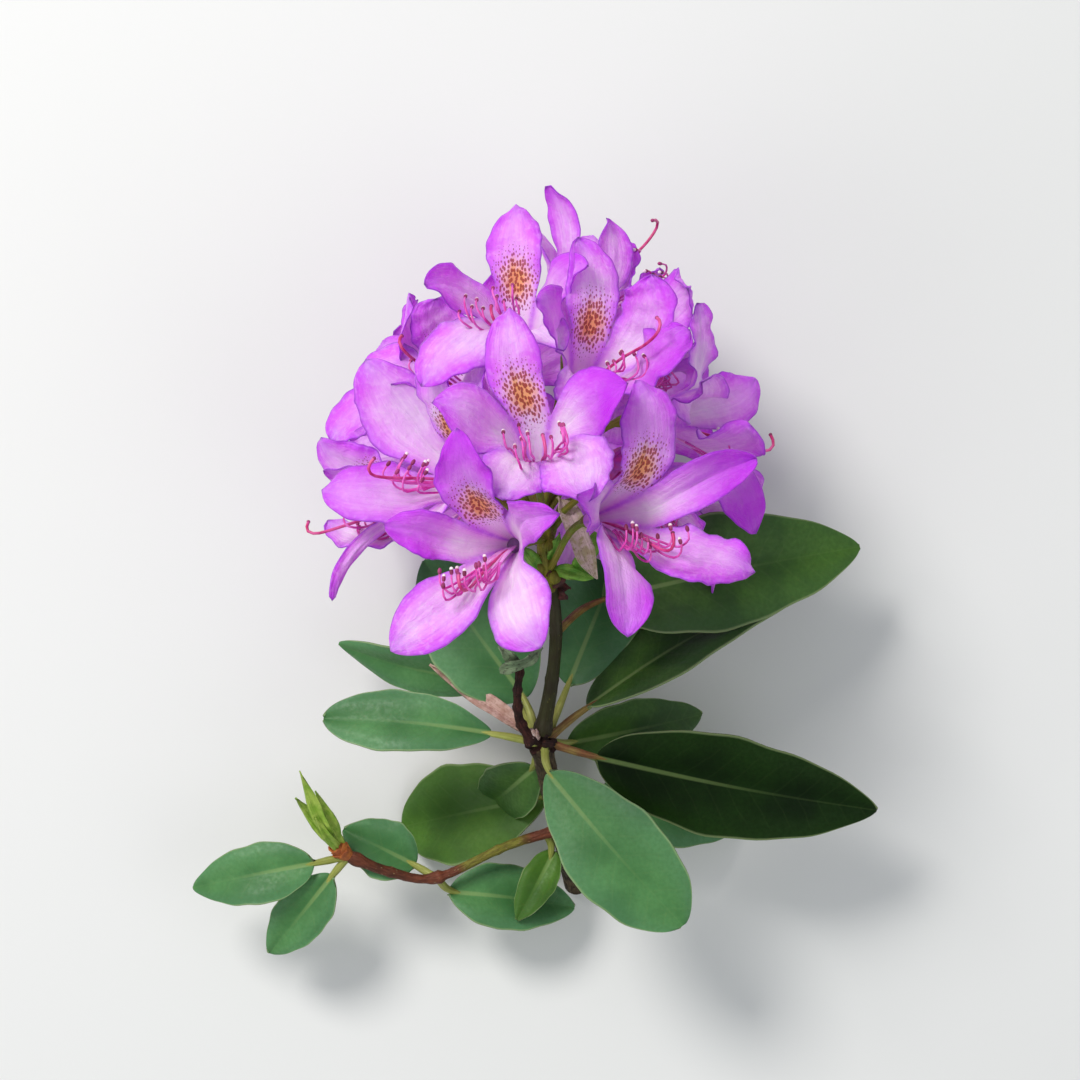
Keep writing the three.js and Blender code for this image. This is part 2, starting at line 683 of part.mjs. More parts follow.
leaves.forEach((leaf) => {
  let colour = leafColour;
  if (limeLeaves.includes(leaf.name)) colour = limeLeafColour;
  if (darkLeaves.includes(leaf.name)) colour = darkLeafColour;
  piece(leaf.name, colour, 0.4, (grow) => leafSolid(leaf, grow));
});

// Each piece gives way to those before it, and every piece to the pedicel and tube of each bloom.
const near = (a, b) => {
  const p = a.boundingBox();
  const q = b.boundingBox();
  return [0, 1, 2].every((c) => p.min[c] < q.max[c] && q.min[c] < p.max[c]);
};
for (const item of pieces) {
  item.solid = item.shape(0);
  item.cutter = item.shape(clearance);
  item.room = item.core ? item.core(0) : null;
  item.roomCutter = item.core ? item.core(clearance) : null;
}
pieces.forEach((item, i) => {
  pieces.forEach((other, j) => {
    if (j < i && near(item.solid, other.cutter)) {
      const kept = item.room && other.room ? other.cutter.subtract(item.room) : other.cutter;
      item.solid = item.solid.subtract(kept);
    }
    if (j > i && other.room && item.name.startsWith("bloom") && near(item.solid, other.roomCutter)) {
      item.solid = item.solid.subtract(other.roomCutter);
    }
  });
  item.solid = mainBody(item.solid);
});

// The origin is the middle of the bounding box's underside, where the branch rests.
const low = at(Infinity, Infinity, Infinity);
const high = at(-Infinity, -Infinity, -Infinity);
for (const item of pieces) {
  const box = item.solid.boundingBox();
  low.min(at(...box.min));
  high.max(at(...box.max));
}

const branch = new THREE.Group();
branch.position.set(-(low.x + high.x) / 2, -(low.y + high.y) / 2, -low.z);
for (const item of pieces) {
  const box = item.solid.boundingBox();
  const anchor = at(...[0, 1, 2].map((c) => (box.min[c] + box.max[c]) / 2));
  const geometry = geometryOf(item.solid.translate([-anchor.x, -anchor.y, -anchor.z]));
  const material = new THREE.MeshStandardMaterial({
    color: item.colour,
    roughness: item.roughness,
    metalness: 0,
  });
  const mesh = new THREE.Mesh(geometry, material);
  mesh.name = item.name;
  mesh.position.copy(anchor);
  branch.add(mesh);
}

const part = new THREE.Group();
part.add(branch);

export default part;
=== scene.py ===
import math

import bmesh
import bpy
import numpy as np
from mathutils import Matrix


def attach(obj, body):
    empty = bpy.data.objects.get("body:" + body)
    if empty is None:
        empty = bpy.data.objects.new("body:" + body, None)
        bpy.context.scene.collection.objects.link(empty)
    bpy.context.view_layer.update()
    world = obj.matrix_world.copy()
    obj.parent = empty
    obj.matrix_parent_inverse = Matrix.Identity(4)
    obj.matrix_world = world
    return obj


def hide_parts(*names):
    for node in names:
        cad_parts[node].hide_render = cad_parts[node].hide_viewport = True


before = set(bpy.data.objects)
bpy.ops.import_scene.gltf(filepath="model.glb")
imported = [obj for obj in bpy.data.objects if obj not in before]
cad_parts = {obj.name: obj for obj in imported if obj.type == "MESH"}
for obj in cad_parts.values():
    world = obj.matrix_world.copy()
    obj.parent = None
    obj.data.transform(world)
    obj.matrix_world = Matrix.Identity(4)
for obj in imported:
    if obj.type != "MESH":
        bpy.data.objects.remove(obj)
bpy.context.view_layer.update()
print("frame loaded")

mm = 0.001
mapScale = 0.01  # of the size maps: one unit is 100 mm
trussFoot = np.array([4.511, -2.504, 64.614])  # where the foot of the truss lies in the frame


# Small helpers
def toFrame(points):
    return (np.asarray(points, float) + trussFoot) * mm


def smooth(x):
    c = np.clip(x, 0, 1)
    return c * c * (3 - 2 * c)


def mix(a, b, share):
    return a + (b - a) * share


def unit(v):
    v = np.asarray(v, float)
    return v / np.maximum(np.linalg.norm(v, axis=-1, keepdims=True), 1e-9)


def bell(x, width):
    return np.exp(-((x / width) ** 2))


def tint(red, green, blue):
    parts = [c / 255 for c in (red, green, blue)]
    return tuple(c / 12.92 if c < 0.04045 else ((c + 0.055) / 1.055) ** 2.4 for c in parts) + (1.0,)


def evenly(line, count):
    reach = np.concatenate([[0], np.cumsum(np.linalg.norm(np.diff(line, axis=0), axis=1))])
    at = np.linspace(0, reach[-1], count)
    return np.stack([np.interp(at, reach, line[:, i]) for i in range(3)], 1)


def throughPoints(points, count):
    p = np.asarray(points, float)
    p = np.vstack([2 * p[0] - p[1], p, 2 * p[-1] - p[-2]])
    at = np.linspace(0, len(p) - 3, 8 * count)
    k = np.minimum(at.astype(int), len(p) - 4)
    t = (at - k)[:, None]
    a, b, c, d = p[k], p[k + 1], p[k + 2], p[k + 3]
    line = b + 0.5 * t * (c - a + t * (2 * a - 5 * b + 4 * c - d + t * (3 * (b - c) + d - a)))
    return evenly(line, count)


def bezier(points, count):
    a, b, c, d = [np.asarray(p, float) for p in points]
    t = np.linspace(0, 1, count)[:, None]
    return (1 - t) ** 3 * a + 3 * (1 - t) ** 2 * t * b + 3 * (1 - t) * t * t * c + t ** 3 * d


def gridNormals(grid):
    return unit(np.cross(np.gradient(grid, axis=1), np.gradient(grid, axis=0)))


# The four corners of each cell, counted the same way round
def cornersOf(grid):
    return [grid[:-1, :-1], grid[:-1, 1:], grid[1:, 1:], grid[1:, :-1]]


def quadsOf(index):
    return np.stack(cornersOf(index), -1).reshape(-1, 4)


# Points around a grid, each with the one after it
def edgeOf(index):
    loop = np.concatenate([index[0, :-1], index[:-1, -1], index[-1, :0:-1], index[:0:-1, 0]])
    return loop, np.roll(loop, -1)


def newObject(name, data):
    thing = bpy.data.objects.new(name, data)
    bpy.context.scene.collection.objects.link(thing)
    return thing


def keepValues(mesh, name, domain, numbers):
    mesh.attributes.new(name, "FLOAT", domain).data.foreach_set("value", np.asarray(numbers, np.float32))


# A piece from points, faces and maps of face corners, with its materials and the one that each face has
def makeMesh(name, points, faces, maps, materials, slots=None):
    mesh = bpy.data.meshes.new(name)
    mesh.from_pydata(toFrame(points).tolist(), [], [list(map(int, f)) for f in faces])
    for mapName, corners in maps.items():
        mesh.uv_layers.new(name=mapName).data.foreach_set("uv", np.asarray(corners, np.float32).ravel())
    for material in materials:
        mesh.materials.append(material)
    if slots is not None:
        mesh.polygons.foreach_set("material_index", np.asarray(slots, np.int32))
    mesh.polygons.foreach_set("use_smooth", [True] * len(mesh.polygons))
    mesh.update()
    return newObject(name, mesh)


def plainMesh(piece):
    graph = bpy.context.evaluated_depsgraph_get()
    plain = bpy.data.meshes.new_from_object(piece.evaluated_get(graph), depsgraph=graph)
    plain.name = piece.name
    piece.modifiers.clear()
    piece.data = plain
    return piece


def settle(piece, slot, *nodes):
    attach(piece, "root")
    if nodes:
        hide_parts(*nodes)
    return piece


# Nodes of materials and of geometry. Each input is a value, or the output of another node.
def isSocket(value):
    return isinstance(value, bpy.types.NodeSocket)


def feed(node, inputs):
    for key, value in inputs.items():
        if isSocket(value):
            node.id_data.links.new(value, node.inputs[key])
        else:
            node.inputs[key].default_value = value
    return node


def put(tree, kind, inputs=None, **settings):
    node = tree.nodes.new(kind)
    for key, value in settings.items():
        setattr(node, key, value)
    return feed(node, inputs or {})


def first(tree, kind, inputs=None, **settings):
    return put(tree, kind, inputs, **settings).outputs[0]


def treeOf(*values):
    return next(value.id_data for value in values if isSocket(value))


def calc(operation, a, b=0.0, clamp=False):
    return first(treeOf(a, b), "ShaderNodeMath", {0: a, 1: b}, operation=operation, use_clamp=clamp)


def times(a, b, clamp=False):
    return calc("MULTIPLY", a, b, clamp)


def plus(a, b, clamp=False):
    return calc("ADD", a, b, clamp)


def minus(a, b):
    return calc("SUBTRACT", a, b)


def offMiddle(value, scale):
    return times(minus(value, 0.5), scale)


def blend(share, a, b):
    return put(treeOf(share, a, b), "ShaderNodeMix", {0: share, 6: a, 7: b}, data_type="RGBA").outputs[2]


def span(value, low, high, outLow=0.0, outHigh=1.0):
    inputs = {0: value, 1: low, 2: high, 3: outLow, 4: outHigh}
    return first(value.id_data, "ShaderNodeMapRange", inputs, interpolation_type="SMOOTHSTEP")


def stretch(vector, scale):
    return first(vector.id_data, "ShaderNodeVectorMath", {0: vector, 1: scale}, operation="MULTIPLY")


def partsOf(vector):
    return put(vector.id_data, "ShaderNodeSeparateXYZ", {0: vector}).outputs[:]


def joined(tree, *parts):
    return first(tree, "ShaderNodeCombineXYZ", dict(enumerate(parts)))


def uvMap(tree, name):
    return first(tree, "ShaderNodeUVMap", uv_map=name)


def stored(tree, name, output="Fac"):
    return put(tree, "ShaderNodeAttribute", attribute_name=name).outputs[output]


def cellsIn(vector, scale, randomness, **settings):
    inputs = {"Vector": stretch(vector, scale), "Scale": 1.0, "Randomness": randomness}
    return put(vector.id_data, "ShaderNodeTexVoronoi", inputs, **settings).outputs["Distance"]


def addBump(shader, height, strength, distance):
    bump = {"Height": height, "Strength": strength, "Distance": distance}
    feed(shader, {"Normal": first(height.id_data, "ShaderNodeBump", bump)})


def newMaterial(name):
    material = bpy.data.materials.new(name)
    material.use_nodes = True
    return material, material.node_tree, material.node_tree.nodes["Principled BSDF"]


def newGroup(name, kind, inputs, outputs):
    group = bpy.data.node_groups.new(name, kind)
    for socketName, socketKind, value in inputs:
        socket = group.interface.new_socket(name=socketName, in_out="INPUT", socket_type=socketKind)
        if value is not None:
            socket.default_value = value
    for socketName, socketKind in outputs:
        group.interface.new_socket(name=socketName, in_out="OUTPUT", socket_type=socketKind)
    return group, group.nodes.new("NodeGroupInput").outputs, group.nodes.new("NodeGroupOutput")


# A pattern gives its mask and its height.
def patternGroup(name, inputs):
    return newGroup(name, "ShaderNodeTree", inputs, [("Mask", "NodeSocketFloat"), ("Height", "NodeSocketFloat")])


# Streaks along a surface, such as petal veins and bark fibres
def makeStreaks():
    group, given, out = patternGroup("fineStreaks", [
        ("Place", "NodeSocketVector", None),
        ("Stretch", "NodeSocketVector", (20.0, 2.0, 1.0)),
        ("Bend", "NodeSocketFloat", 0.4),
    ])
    noise = first(group, "ShaderNodeTexNoise", {
        "Vector": stretch(given["Place"], given["Stretch"]), "Scale": 1.0, "Detail": 3.0, "Roughness": 0.55,
        "Distortion": given["Bend"],
    })
    feed(out, {"Mask": span(noise, 0.36, 0.66), "Height": noise})
    return group


# Soft clouds over a piece
def makeMottle():
    group, given, out = patternGroup("softMottle", [
        ("Size", "NodeSocketFloat", 200.0),
        ("Low", "NodeSocketFloat", 0.35),
        ("High", "NodeSocketFloat", 0.65),
    ])
    place = put(group, "ShaderNodeTexCoord").outputs["Object"]
    noise = first(group, "ShaderNodeTexNoise", {"Vector": place, "Scale": given["Size"], "Detail": 4.0})
    feed(out, {"Mask": span(noise, given["Low"], given["High"]), "Height": noise})
    return group


streaks = makeStreaks()
mottle = makeMottle()


def fibres(place, scale, bend):
    inputs = {"Place": place, "Stretch": scale, "Bend": bend}
    return put(place.id_data, "ShaderNodeGroup", inputs, node_tree=streaks).outputs


def clouds(tree, size, low, high):
    return put(tree, "ShaderNodeGroup", {"Size": size, "Low": low, "High": high}, node_tree=mottle).outputs


petalLook = {
    "pale": tint(250, 218, 250),
    "middle": tint(224, 108, 246),
    "rim": tint(172, 70, 236),
    "edge": tint(108, 40, 164),
    "deepAndShade": tint(178, 34, 218),
    "vein": tint(196, 74, 224),
    "ground": tint(238, 164, 62),
    "groundEdge": tint(242, 190, 190),
    "spot": tint(140, 52, 30),
    "spotEdge": tint(140, 44, 110),
    "roughness": 0.5,
    "gloss": 0.22,
    "sheen": 0.06,
    "translucency": 0.6,
    "glowColour": (1.0, 0.45, 0.9),
    "glowDepth": 0.002,
    "veins": {"inside": 0.22, "outside": 0.34},
    "grain": 0.2,
    "relief": 0.0006,
    "blotchCentre": 24.9,  # millimetres from the corolla's base
    "blotchHalfLength": 9.6,
    "blotchHalfWidth": 6.5,
    "groundShare": 0.9,
    "spotShare": 0.88,
    "spotSpread": (122.0, 70.0, 1.0),  # cells across and along 100 mm
}


# A petal is pale in the throat and along its middle, and deeper to its margin. The upper one has the blotch.
def petalMaterial(side):
    look = petalLook
    material, tree, shader = newMaterial("petal_" + side)
    place, size = uvMap(tree, "petalPlace"), uvMap(tree, "petalSize")
    # Each lobe's stored tone is partly its own colour and partly painted shade (above zero, deeper) or painted light
    # (below zero, paler).
    tone = stored(tree, "tone")
    u, along, _ = partsOf(place)
    across = calc("ABSOLUTE", offMiddle(u, 2.0))
    cloud, broad = clouds(tree, 70.0, 0.3, 0.7), clouds(tree, 38.0, 0.42, 0.66)
    grain, vein = clouds(tree, 620.0, 0.45, 0.7), fibres(place, (22.0, 2.6, 1.0), 0.5)
    outward = times(span(along, 0.3, 0.95), 0.6)
    sideways = times(span(across, 0.1, 0.95), 0.5)
    palerAndPaintedLight = times(calc("MINIMUM", tone, 0.0), 1.2)
    share = plus(plus(plus(outward, sideways), offMiddle(cloud["Mask"], 0.45)), palerAndPaintedLight, clamp=True)
    # Outside, the tube and the lobe bases keep the middle colour: painted shade on the tubes that sit deep in the
    # truss.
    if side == "outside":
        share = calc("MAXIMUM", share, span(along, 0.2, 0.6, 1.0, 0.35))
    colour = blend(share, look["pale"], look["middle"])
    margin = calc("MAXIMUM", span(across, 0.6, 1.0), span(along, 0.8, 1.0))
    colour = blend(times(margin, 0.6), colour, look["rim"])
    veined = times(vein["Mask"], span(along, 0.25, 0.6, 0.3, 1.0))
    colour = blend(times(veined, look["veins"][side]), colour, look["vein"])
    colour = blend(times(grain["Mask"], look["grain"]), colour, look["pale"])
    # Deeper by the tone and by broad patches toward the tips: the lobe's own deep colour, with painted shade on lobes
    # and folds that lie in shade.
    depthAndShade = plus(tone, times(broad["Mask"], times(outward, 0.6)))
    colour = blend(times(depthAndShade, 0.85, clamp=True), colour, look["deepAndShade"])
    line = calc("MAXIMUM", span(across, 0.93, 1.0), span(along, 0.975, 1.0))
    colour = blend(times(times(line, span(along, 0.42, 0.55)), 0.6), colour, look["edge"])
    if side == "inside":
        colour = addBlotch(colour, size, stored(tree, "upper"))
    feed(shader, {
        "Base Color": colour, "Roughness": look["roughness"], "Specular IOR Level": look["gloss"],
        "Sheen Weight": look["sheen"], "Subsurface Weight": look["translucency"],
        "Subsurface Radius": look["glowColour"], "Subsurface Scale": look["glowDepth"],
    })
    crinkle = fibres(size, (84.0, 40.0, 1.0), 1.2)
    height = plus(vein["Height"], times(crinkle["Height"], 1.1))
    addBump(shader, plus(height, times(grain["Height"], 0.7)), 0.5, look["relief"])
    return material


# Golden ground under red-brown specks, densest in the middle
def addBlotch(colour, size, upper):
    look = petalLook
    u, along, _ = partsOf(size)
    x = offMiddle(u, 1 / mapScale / look["blotchHalfWidth"])
    y = times(minus(times(along, 1 / mapScale), look["blotchCentre"]), 1 / look["blotchHalfLength"])
    ragged = fibres(size, (60.0, 30.0, 1.0), 0.3)
    away = plus(calc("SQRT", plus(times(x, x), times(y, y))), offMiddle(ragged["Height"], 0.8))
    ground = times(span(away, 0.3, 1.0, 1.0, 0.0), upper)
    gold = blend(span(away, 0.2, 0.85), look["ground"], look["groundEdge"])
    colour = blend(times(ground, look["groundShare"]), colour, gold)
    cells = cellsIn(size, look["spotSpread"], 0.8, voronoi_dimensions="2D")
    reach = times(span(away, 0.35, 1.5, 0.46, 0.0), upper)
    speck = span(minus(cells, reach), -0.1, 0.03, 1.0, 0.0)
    speck = times(speck, calc("GREATER_THAN", reach, 0.07))
    spot = blend(span(away, 0.5, 1.1), look["spot"], look["spotEdge"])
    return blend(times(speck, look["spotShare"]), colour, spot)


petalSides = [petalMaterial(side) for side in ("inside", "outside")]

# Corolla: a funnel that opens into five lobes
corollaShape = {
    "tubeLength": 19.0,
    "lobeLength": 30.0,
    "lobeHalfWidth": 9.2,
    "baseRadius": 2.0,
    "wall": 0.34,
    "baseAngle": 14,
    "throatAngle": 26,
    "openAngle": 62,
    "recurveAngle": 26,
    "hollow": 1 / 30,  # cross curvature of a lobe whose own value is 1
    "ruffle": 0.7,  # height of the waves along the margin
    "crease": 0.6,  # depth of the fold line along a lobe
    "billow": 0.8,  # broad swells of the whole lobe
    "dimple": 0.16,
    "edgeWave": 0.045,  # of a lobe's width
    "edgeNick": 0.016,
    "mouth": 0.53,  # width of a lobe at its notch, as a share of its widest
    "tubeRows": 12,
    "lobeRows": 30,
    "lobeColumns": 18,
    "spineSteps": 97,
    "lineSteps": 193,
    "seed": 31,
}
corollaLength = corollaShape["tubeLength"] + corollaShape["lobeLength"]
notch = corollaShape["tubeLength"] / corollaLength
sector = math.pi / 5


def lineAngle(s, opening):
    shape = corollaShape
    tube = shape["baseAngle"] + (shape["throatAngle"] - shape["baseAngle"]) * s / notch
    q = (s - notch) / (1 - notch)
    lobe = shape["throatAngle"] + (opening - shape["throatAngle"]) * smooth(q / 0.4) + shape["recurveAngle"] * q * q
    return np.radians(np.where(s <= notch, tube, lobe))


# Radius, height and angle along the middle line of a lobe
def middleLine(opening):
    s = np.linspace(0, 1, corollaShape["lineSteps"])
    between = lineAngle((s[:-1] + s[1:]) / 2, opening)
    step = corollaLength / (len(s) - 1)
    r = corollaShape["baseRadius"] + np.concatenate([[0], np.cumsum(np.sin(between) * step)])
    z = np.concatenate([[0], np.cumsum(np.cos(between) * step)])
    return s, r, z, lineAngle(s, opening)


def onLine(line, s):
    return [np.interp(s, line[0], line[k]) for k in (1, 2, 3)]


notchRadius, throatHeight, throatTilt = [float(v) for v in onLine(middleLine(corollaShape["openAngle"]), notch)]
lobeNames = ["upper", "left", "lowerLeft", "lowerRight", "right"]


def lobeOutline(q, blunt, widest):
    beyond = np.clip((q - widest) / (1 - widest), 0, 1)
    tip = np.maximum(0, 1 - beyond ** 2.2) ** (0.85 - 0.3 * blunt)
    mouth = corollaShape["mouth"]
    return np.where(q < widest, mouth + (1 - mouth) * np.sin(np.pi * q / (2 * widest)), tip)


# Middle line of a lobe with its side and inward directions, in the bloom's own frame
def lobeSpine(bloom, lobe, form, q):
    azimuth = math.radians(90 - 72 * lobe)
    radial = np.array([math.cos(azimuth), math.sin(azimuth), 0])
    sideways = np.array([math.sin(azimuth), -math.cos(azimuth), 0])
    if "tip" in form:
        axes, base = bloomAxes(bloom)
        start = radial * notchRadius + [0, 0, throatHeight]
        leave = radial * math.sin(throatTilt) + [0, 0, math.cos(throatTilt)]
        tip = axes @ (np.array(form["tip"], float) - base)
        reach = np.linalg.norm(tip - start)
        ahead = start + leave * form["leave"] * reach
        arrive = unit(unit(tip - ahead) - np.array([0, 0, form.get("curl", 0.45)]))
        steps = corollaShape["spineSteps"]
        line = evenly(bezier([start, ahead, tip - arrive * 0.36 * reach, tip], steps), steps)
        middle = np.stack([np.interp(q, np.linspace(0, 1, steps), line[:, i]) for i in range(3)], 1)
    else:
        line = middleLine(corollaShape["openAngle"] + form["bend"])
        r, z, _ = onLine(line, notch + (1 - notch) * q)
        middle = np.stack([r * math.cos(azimuth), r * math.sin(azimuth), z], 1)
    along = unit(np.gradient(middle, axis=0))
    side = unit(sideways - (along @ sideways)[:, None] * along)
    middle = middle + side * (form["bow"] * np.sin(np.pi * np.clip(q, 0, 1)))[:, None]
    along = unit(np.gradient(middle, axis=0))
    side = unit(side - np.sum(side * along, 1, keepdims=True) * along)
    inward = np.cross(side, along)
    upward = bloomAxes(bloom)[0] @ np.array([0, 0, 1])
    turned = inward + upward * (form["facing"] * smooth(q / 0.6))[:, None]
    inward = unit(turned - np.sum(turned * along, 1, keepdims=True) * along)
    return middle, np.cross(along, inward), inward


# Points of one lobe in the bloom's own frame, rows from the notch to the tip, columns across
def lobeGrid(bloom, lobe, form, q, t):
    shape = corollaShape
    middle, side, inward = lobeSpine(bloom, lobe, form, q)
    q, t = q[:, None], t[None, :]
    phase = form["phase"]
    opened = smooth(q / form["opens"])
    edge = 1 + shape["edgeWave"] * form["ruffle"] * np.sin(9 * q + phase[0] + np.where(t < 0, 2, 0))
    edge = edge + shape["edgeNick"] * form["ruffle"] * np.sin(41 * q + phase[1] + np.where(t < 0, 1, 0))
    width = shape["lobeHalfWidth"] * form["half"] * lobeOutline(q, form["blunt"], form["widest"]) * edge
    halfWidth = mix(notchRadius * sector * (1 + q), width, opened)
    bent = mix(1 / notchRadius, shape["hollow"] * form["hollow"], smooth(q / 0.34))
    bent = np.where(np.abs(bent) < 1e-4, 1e-4, bent)
    across = np.sin(t * halfWidth * bent) / bent
    sag = (1 - np.cos(t * halfWidth * bent)) / bent
    grid = middle[:, None, :] + side[:, None, :] * across[..., None] + inward[:, None, :] * sag[..., None]
    rim = np.abs(t) ** 2.4 * smooth(q / 0.3) * smooth((1.04 - q) / 0.2)
    waves = np.sin(2 * np.pi * form["waves"] * q + np.where(t < 0, phase[2], phase[3]))
    fine = np.sin(2 * np.pi * form["waves"] * 2.7 * q + np.where(t < 0, phase[3], phase[4]))
    lift = shape["ruffle"] * form["ruffle"] * rim * (waves + 0.3 * fine)
    lift = lift - shape["crease"] * bell(t, 0.13) * smooth(q / 0.1) * smooth((0.95 - q) / 0.6)
    swell = np.sin(3.1 * q * form["swell"] + 1.7 * t + phase[4])
    lift = lift + shape["billow"] * swell * smooth(q / 0.4)
    dimple = np.sin(21 * q + 4 * t + phase[0]) * np.sin(9 * t - 6 * q + phase[1])
    lift = lift + shape["dimple"] * form["crinkle"] * dimple * smooth(q / 0.4)
    lift = lift + np.abs(across) * math.tan(math.radians(form["fold"])) * smooth(q / 0.4)
    lift = lift + across * np.tan(np.radians(form["twist"]) * smooth(q))
    lift = lift + shape["ruffle"] * (1 - bell(t, 0.5)) * smooth((q - 0.86) / 0.14) * form["tipCurl"]
    return grid + gridNormals(grid) * lift[..., None], across


# What each lobe is like: its own values, and chance for the rest
def lobeForm(bloom, order, dice):
    form = {
        "phase": dice.uniform(0, 6.28, 5),
        "waves": dice.uniform(1.2, 2.4),
        "ruffle": dice.uniform(0.5, 1.4),
        "swell": dice.uniform(0.7, 1.4),
        "hollow": dice.uniform(-0.9, 0.2),
        "fold": dice.normal(2.0, 4.0),
        "twist": dice.normal(0.0, 5.0),
        "tipCurl": dice.uniform(-1.2, 1.2),
        "blunt": dice.uniform(0.0, 0.8),
        # The random tone is the lobe's own colour; the tones given below also carry painted shade and painted light.
        "tone": dice.uniform(0.0, 0.3),
        "half": 1.0,
        "facing": 0.0,  # how far the lobe turns its inner side up
        "bow": 0.0,  # clockwise bend of the lobe in its own plane, in millimetres
        "crinkle": 1.0,
        "opens": 0.36,  # where along the lobe its own width starts
        "widest": 0.45,
        "leave": 0.36,  # how far the lobe goes on straight from the tube, as a share of its reach
        "bend": bloom.get("bend", [0] * 5)[order],
        **bloom["lobes"].get(lobeNames[order], {}),
    }
    form["tone"] = min(1.0, form["tone"] + bloom.get("tone", 0.0))
    return form


def bloomAxes(bloom):
    yaw, pitch, turn = [math.radians(bloom[k]) for k in ("yaw", "pitch", "roll")]
    d = np.array([math.sin(yaw) * math.cos(pitch), math.sin(pitch), math.cos(yaw) * math.cos(pitch)])
    x = unit(np.cross([0, 1, 0], d))
    y = np.cross(d, x)
    axes = np.array([x * math.cos(turn) + y * math.sin(turn), y * math.cos(turn) - x * math.sin(turn), d])
    return axes, np.array(bloom["throat"], float) - d * throatHeight


def placeBloom(bloom, points):
    axes, base = bloomAxes(bloom)
    return points @ axes + base


def corollaPiece(number, bloom):
    shape = corollaShape
    dice = np.random.default_rng(shape["seed"] + number)
    columns, around = shape["lobeColumns"], 5 * shape["lobeColumns"]
    line = middleLine(shape["openAngle"])
    tones = [np.zeros(shape["tubeRows"] * around)]
    sTube = np.linspace(0.0, notch, shape["tubeRows"])
    r, z, _ = onLine(line, sTube)
    step = np.arange(around)
    t = -1 + 2 * (step % columns) / columns
    azimuth = np.radians(90 - 72 * (step // columns)) - t * sector
    rib = 1 + 0.035 * np.cos(5 * (azimuth - math.pi / 2)) * np.sin(np.pi * sTube / notch)[:, None]
    rings = np.stack(np.broadcast_arrays(
        r[:, None] * rib * np.cos(azimuth), r[:, None] * rib * np.sin(azimuth), z[:, None],
    ), -1)
    points = [rings.reshape(-1, 3)]
    faces, placeMap, sizeMap, upper = [], [], [], []
    total = rings.shape[0] * around
    tAcross = np.linspace(-1, 1, columns + 1)
    qRows = np.linspace(0, 1, shape["lobeRows"]) ** 0.92

    def take(index, s, halfWidth, isUpper):
        mapped = np.stack(np.broadcast_arrays((tAcross[None, :] + 1) / 2, s[:, None]), -1)
        sized = np.stack(np.broadcast_arrays(0.5 + halfWidth * mapScale, s[:, None] * corollaLength * mapScale), -1)
        faces.append(quadsOf(index))
        for store, grid in ((placeMap, mapped), (sizeMap, sized)):
            store.append(np.stack(cornersOf(grid), 2).reshape(-1, 4, 2))
        upper.append(np.full(len(faces[-1]), float(isUpper)))

    for lobe in range(5):
        order = (5 - lobe) % 5
        ring = (lobe * columns + np.arange(columns + 1)) % around
        index = np.arange(rings.shape[0])[:, None] * around + ring
        spotted = bloom.get("blotch", 1.0) if lobe == 0 else 0.0
        take(index, sTube, r[:, None] * sector * tAcross, spotted)
        form = lobeForm(bloom, order, dice)
        grid, across = lobeGrid(bloom, lobe, form, qRows, tAcross)
        grid, across = grid[1:], across[1:]
        points.append(grid.reshape(-1, 3))
        tones.append(np.repeat(form["tone"] * smooth(qRows[1:] / 0.7), columns + 1))
        count = grid.shape[0] * (columns + 1)
        index = np.vstack([index[-1], total + np.arange(count).reshape(-1, columns + 1)])
        total += count
        take(index, notch + (1 - notch) * qRows, np.vstack([r[-1] * sector * tAcross, across]), spotted)
    local = np.vstack(points + [[[0, 0, 0.15]]])
    tones.append(np.zeros(1))
    ring = np.arange(around)
    foot = np.stack([np.full(around, total), ring, np.roll(ring, -1)], 1)
    faces = list(np.vstack(faces)) + list(foot)
    upper.append(np.zeros(around))
    maps = {}
    for mapName, store in (("petalPlace", placeMap), ("petalSize", sizeMap)):
        maps[mapName] = np.vstack([grid.reshape(-1, 2) for grid in store] + [np.full((3 * around, 2), 0.5)])
    piece = makeMesh(f"petals_{number:02d}", placeBloom(bloom, local), faces, maps, petalSides)
    keepValues(piece.data, "upper", "FACE", np.concatenate(upper))
    keepValues(piece.data, "tone", "POINT", np.concatenate(tones))
    wall = piece.modifiers.new("wall", "SOLIDIFY")
    wall.thickness = shape["wall"] * mm
    wall.offset = 0
    wall.material_offset = 1
    wall.material_offset_rim = 0
    return settle(plainMesh(piece), "petal", f"bloom_{number:02d}")


def lobeTo(x, y, z, **own):
    return {"tip": [x, y, z], **own}


def bloomAt(throat, yaw, pitch, roll, **own):
    lobes = {name: own.pop(name) for name in lobeNames if name in own}
    return {"throat": throat, "yaw": yaw, "pitch": pitch, "roll": roll, "lobes": lobes, **own}
